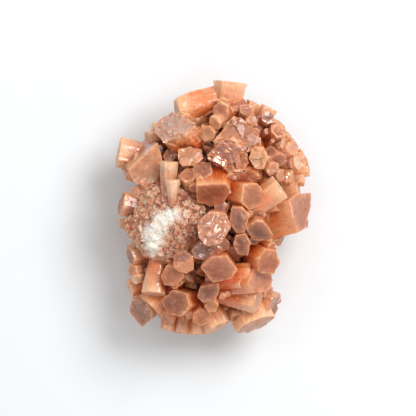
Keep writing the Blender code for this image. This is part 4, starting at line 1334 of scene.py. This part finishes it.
def crust_finish():
    """Crumbly mineral: pinkish brown grains and a chalky white middle, with hardly any gloss."""
    material, start = new_finish("aragonite crust")
    place = in_millimetres(start)
    tint = attribute(start, "crumb_tint")
    white = attribute(start, "crumb_tint", "Alpha")
    speck = noisy(place, (2.4, 2.4, 2.4), 4.0, 0.65)
    grain = noisy(place, (6.0, 6.0, 6.0), 2.0)
    colour = shaded(tint, 0.66 + 0.68 * speck)
    stain = passage(speck, 0.56, 0.72) * (1.0 - 0.85 * white)
    colour = tinted(colour, 0.45 * stain, (124, 66, 48))
    dust = passage(grain, 0.56, 0.72)
    colour = tinted(colour, 0.4 * dust, (244, 222, 204))
    height = 0.7 * speck + 0.5 * grain
    normal = height.node("Bump", {}, {"Height": height, "Strength": 0.8, "Distance": 0.0003})
    surface = start.node("BsdfPrincipled", {}, {
        "Base Color": colour,
        "Roughness": 0.62 - 0.2 * grain,
        "IOR": 1.55,
        "Subsurface Weight": 0.65,
        "Subsurface Radius": (1.0, 0.5, 0.3),
        "Subsurface Scale": 0.0014,
        "Normal": normal,
    })
    put_on(start, surface)
    return material


def dress(piece, finish):
    """Gives a piece its only finish."""
    piece.data.materials.clear()
    piece.data.materials.append(finish)


def table_finish():
    """Smooth white card."""
    material, start = new_finish("white table")
    spot = start.node("TexCoord", {}, {}, "Object")
    tooth = noisy(spot, (900.0, 900.0, 900.0), 2.0)
    height = tooth.node("Bump", {}, {"Height": tooth, "Strength": 0.05, "Distance": 0.0002})
    surface = start.node("BsdfPrincipled", {}, {
        "Base Color": screen((233, 236, 238)), "Roughness": 0.9 + 0.05 * tooth, "Normal": height,
    })
    put_on(start, surface)
    return material


def table():
    """The pale table top that the specimen lies on."""
    shape = bmesh.new()
    bmesh.ops.create_grid(shape, x_segments=1, y_segments=1, size=TABLE_HALF_SIZE)
    top = new_object(bpy.context.scene.collection, "table", shape)
    top.data.materials.append(table_finish())


def add_lamp(name, around, above, distance, size, power):
    """A square soft lamp that shines at the specimen from a number of degrees round and above."""
    lamp = bpy.data.lights.new(name, "AREA")
    lamp.shape = "SQUARE"
    lamp.size = size
    lamp.energy = power
    holder = bpy.data.objects.new(name, lamp)
    holder.location = distance * direction(around, above)
    holder.rotation_mode = "QUATERNION"
    holder.rotation_quaternion = holder.location.to_track_quat("Z", "Y")
    bpy.context.scene.collection.objects.link(holder)


def studio():
    """Soft light, the pale table and the camera straight above."""
    scene = bpy.context.scene
    scene.view_settings.view_transform = "Standard"
    world = bpy.data.worlds.new("studio")
    world.use_nodes = True
    world.node_tree.nodes["Background"].inputs["Color"].default_value = (1.0, 1.0, 1.0, 1.0)
    world.node_tree.nodes["Background"].inputs["Strength"].default_value = SKY_STRENGTH
    scene.world = world
    for lamp in LAMPS:
        add_lamp(*lamp)
    table()
    lens = bpy.data.cameras.new("camera")
    lens.lens = LENS
    lens.sensor_width = SENSOR
    lens.clip_start = 0.01
    lens.clip_end = 10.0
    camera = bpy.data.objects.new("camera", lens)
    camera.location = CAMERA_PLACE
    scene.collection.objects.link(camera)
    scene.camera = camera


studio()
chance = random.Random(SEED)
finish = crystal_finish()
pieces = list(crystals(chance))
for piece in pieces:
    dress(piece, finish)
pieces.append(crust(chance))
dress(pieces[-1], crust_finish())
for piece in pieces:
    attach(piece, "root")
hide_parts("aragonite_cluster")
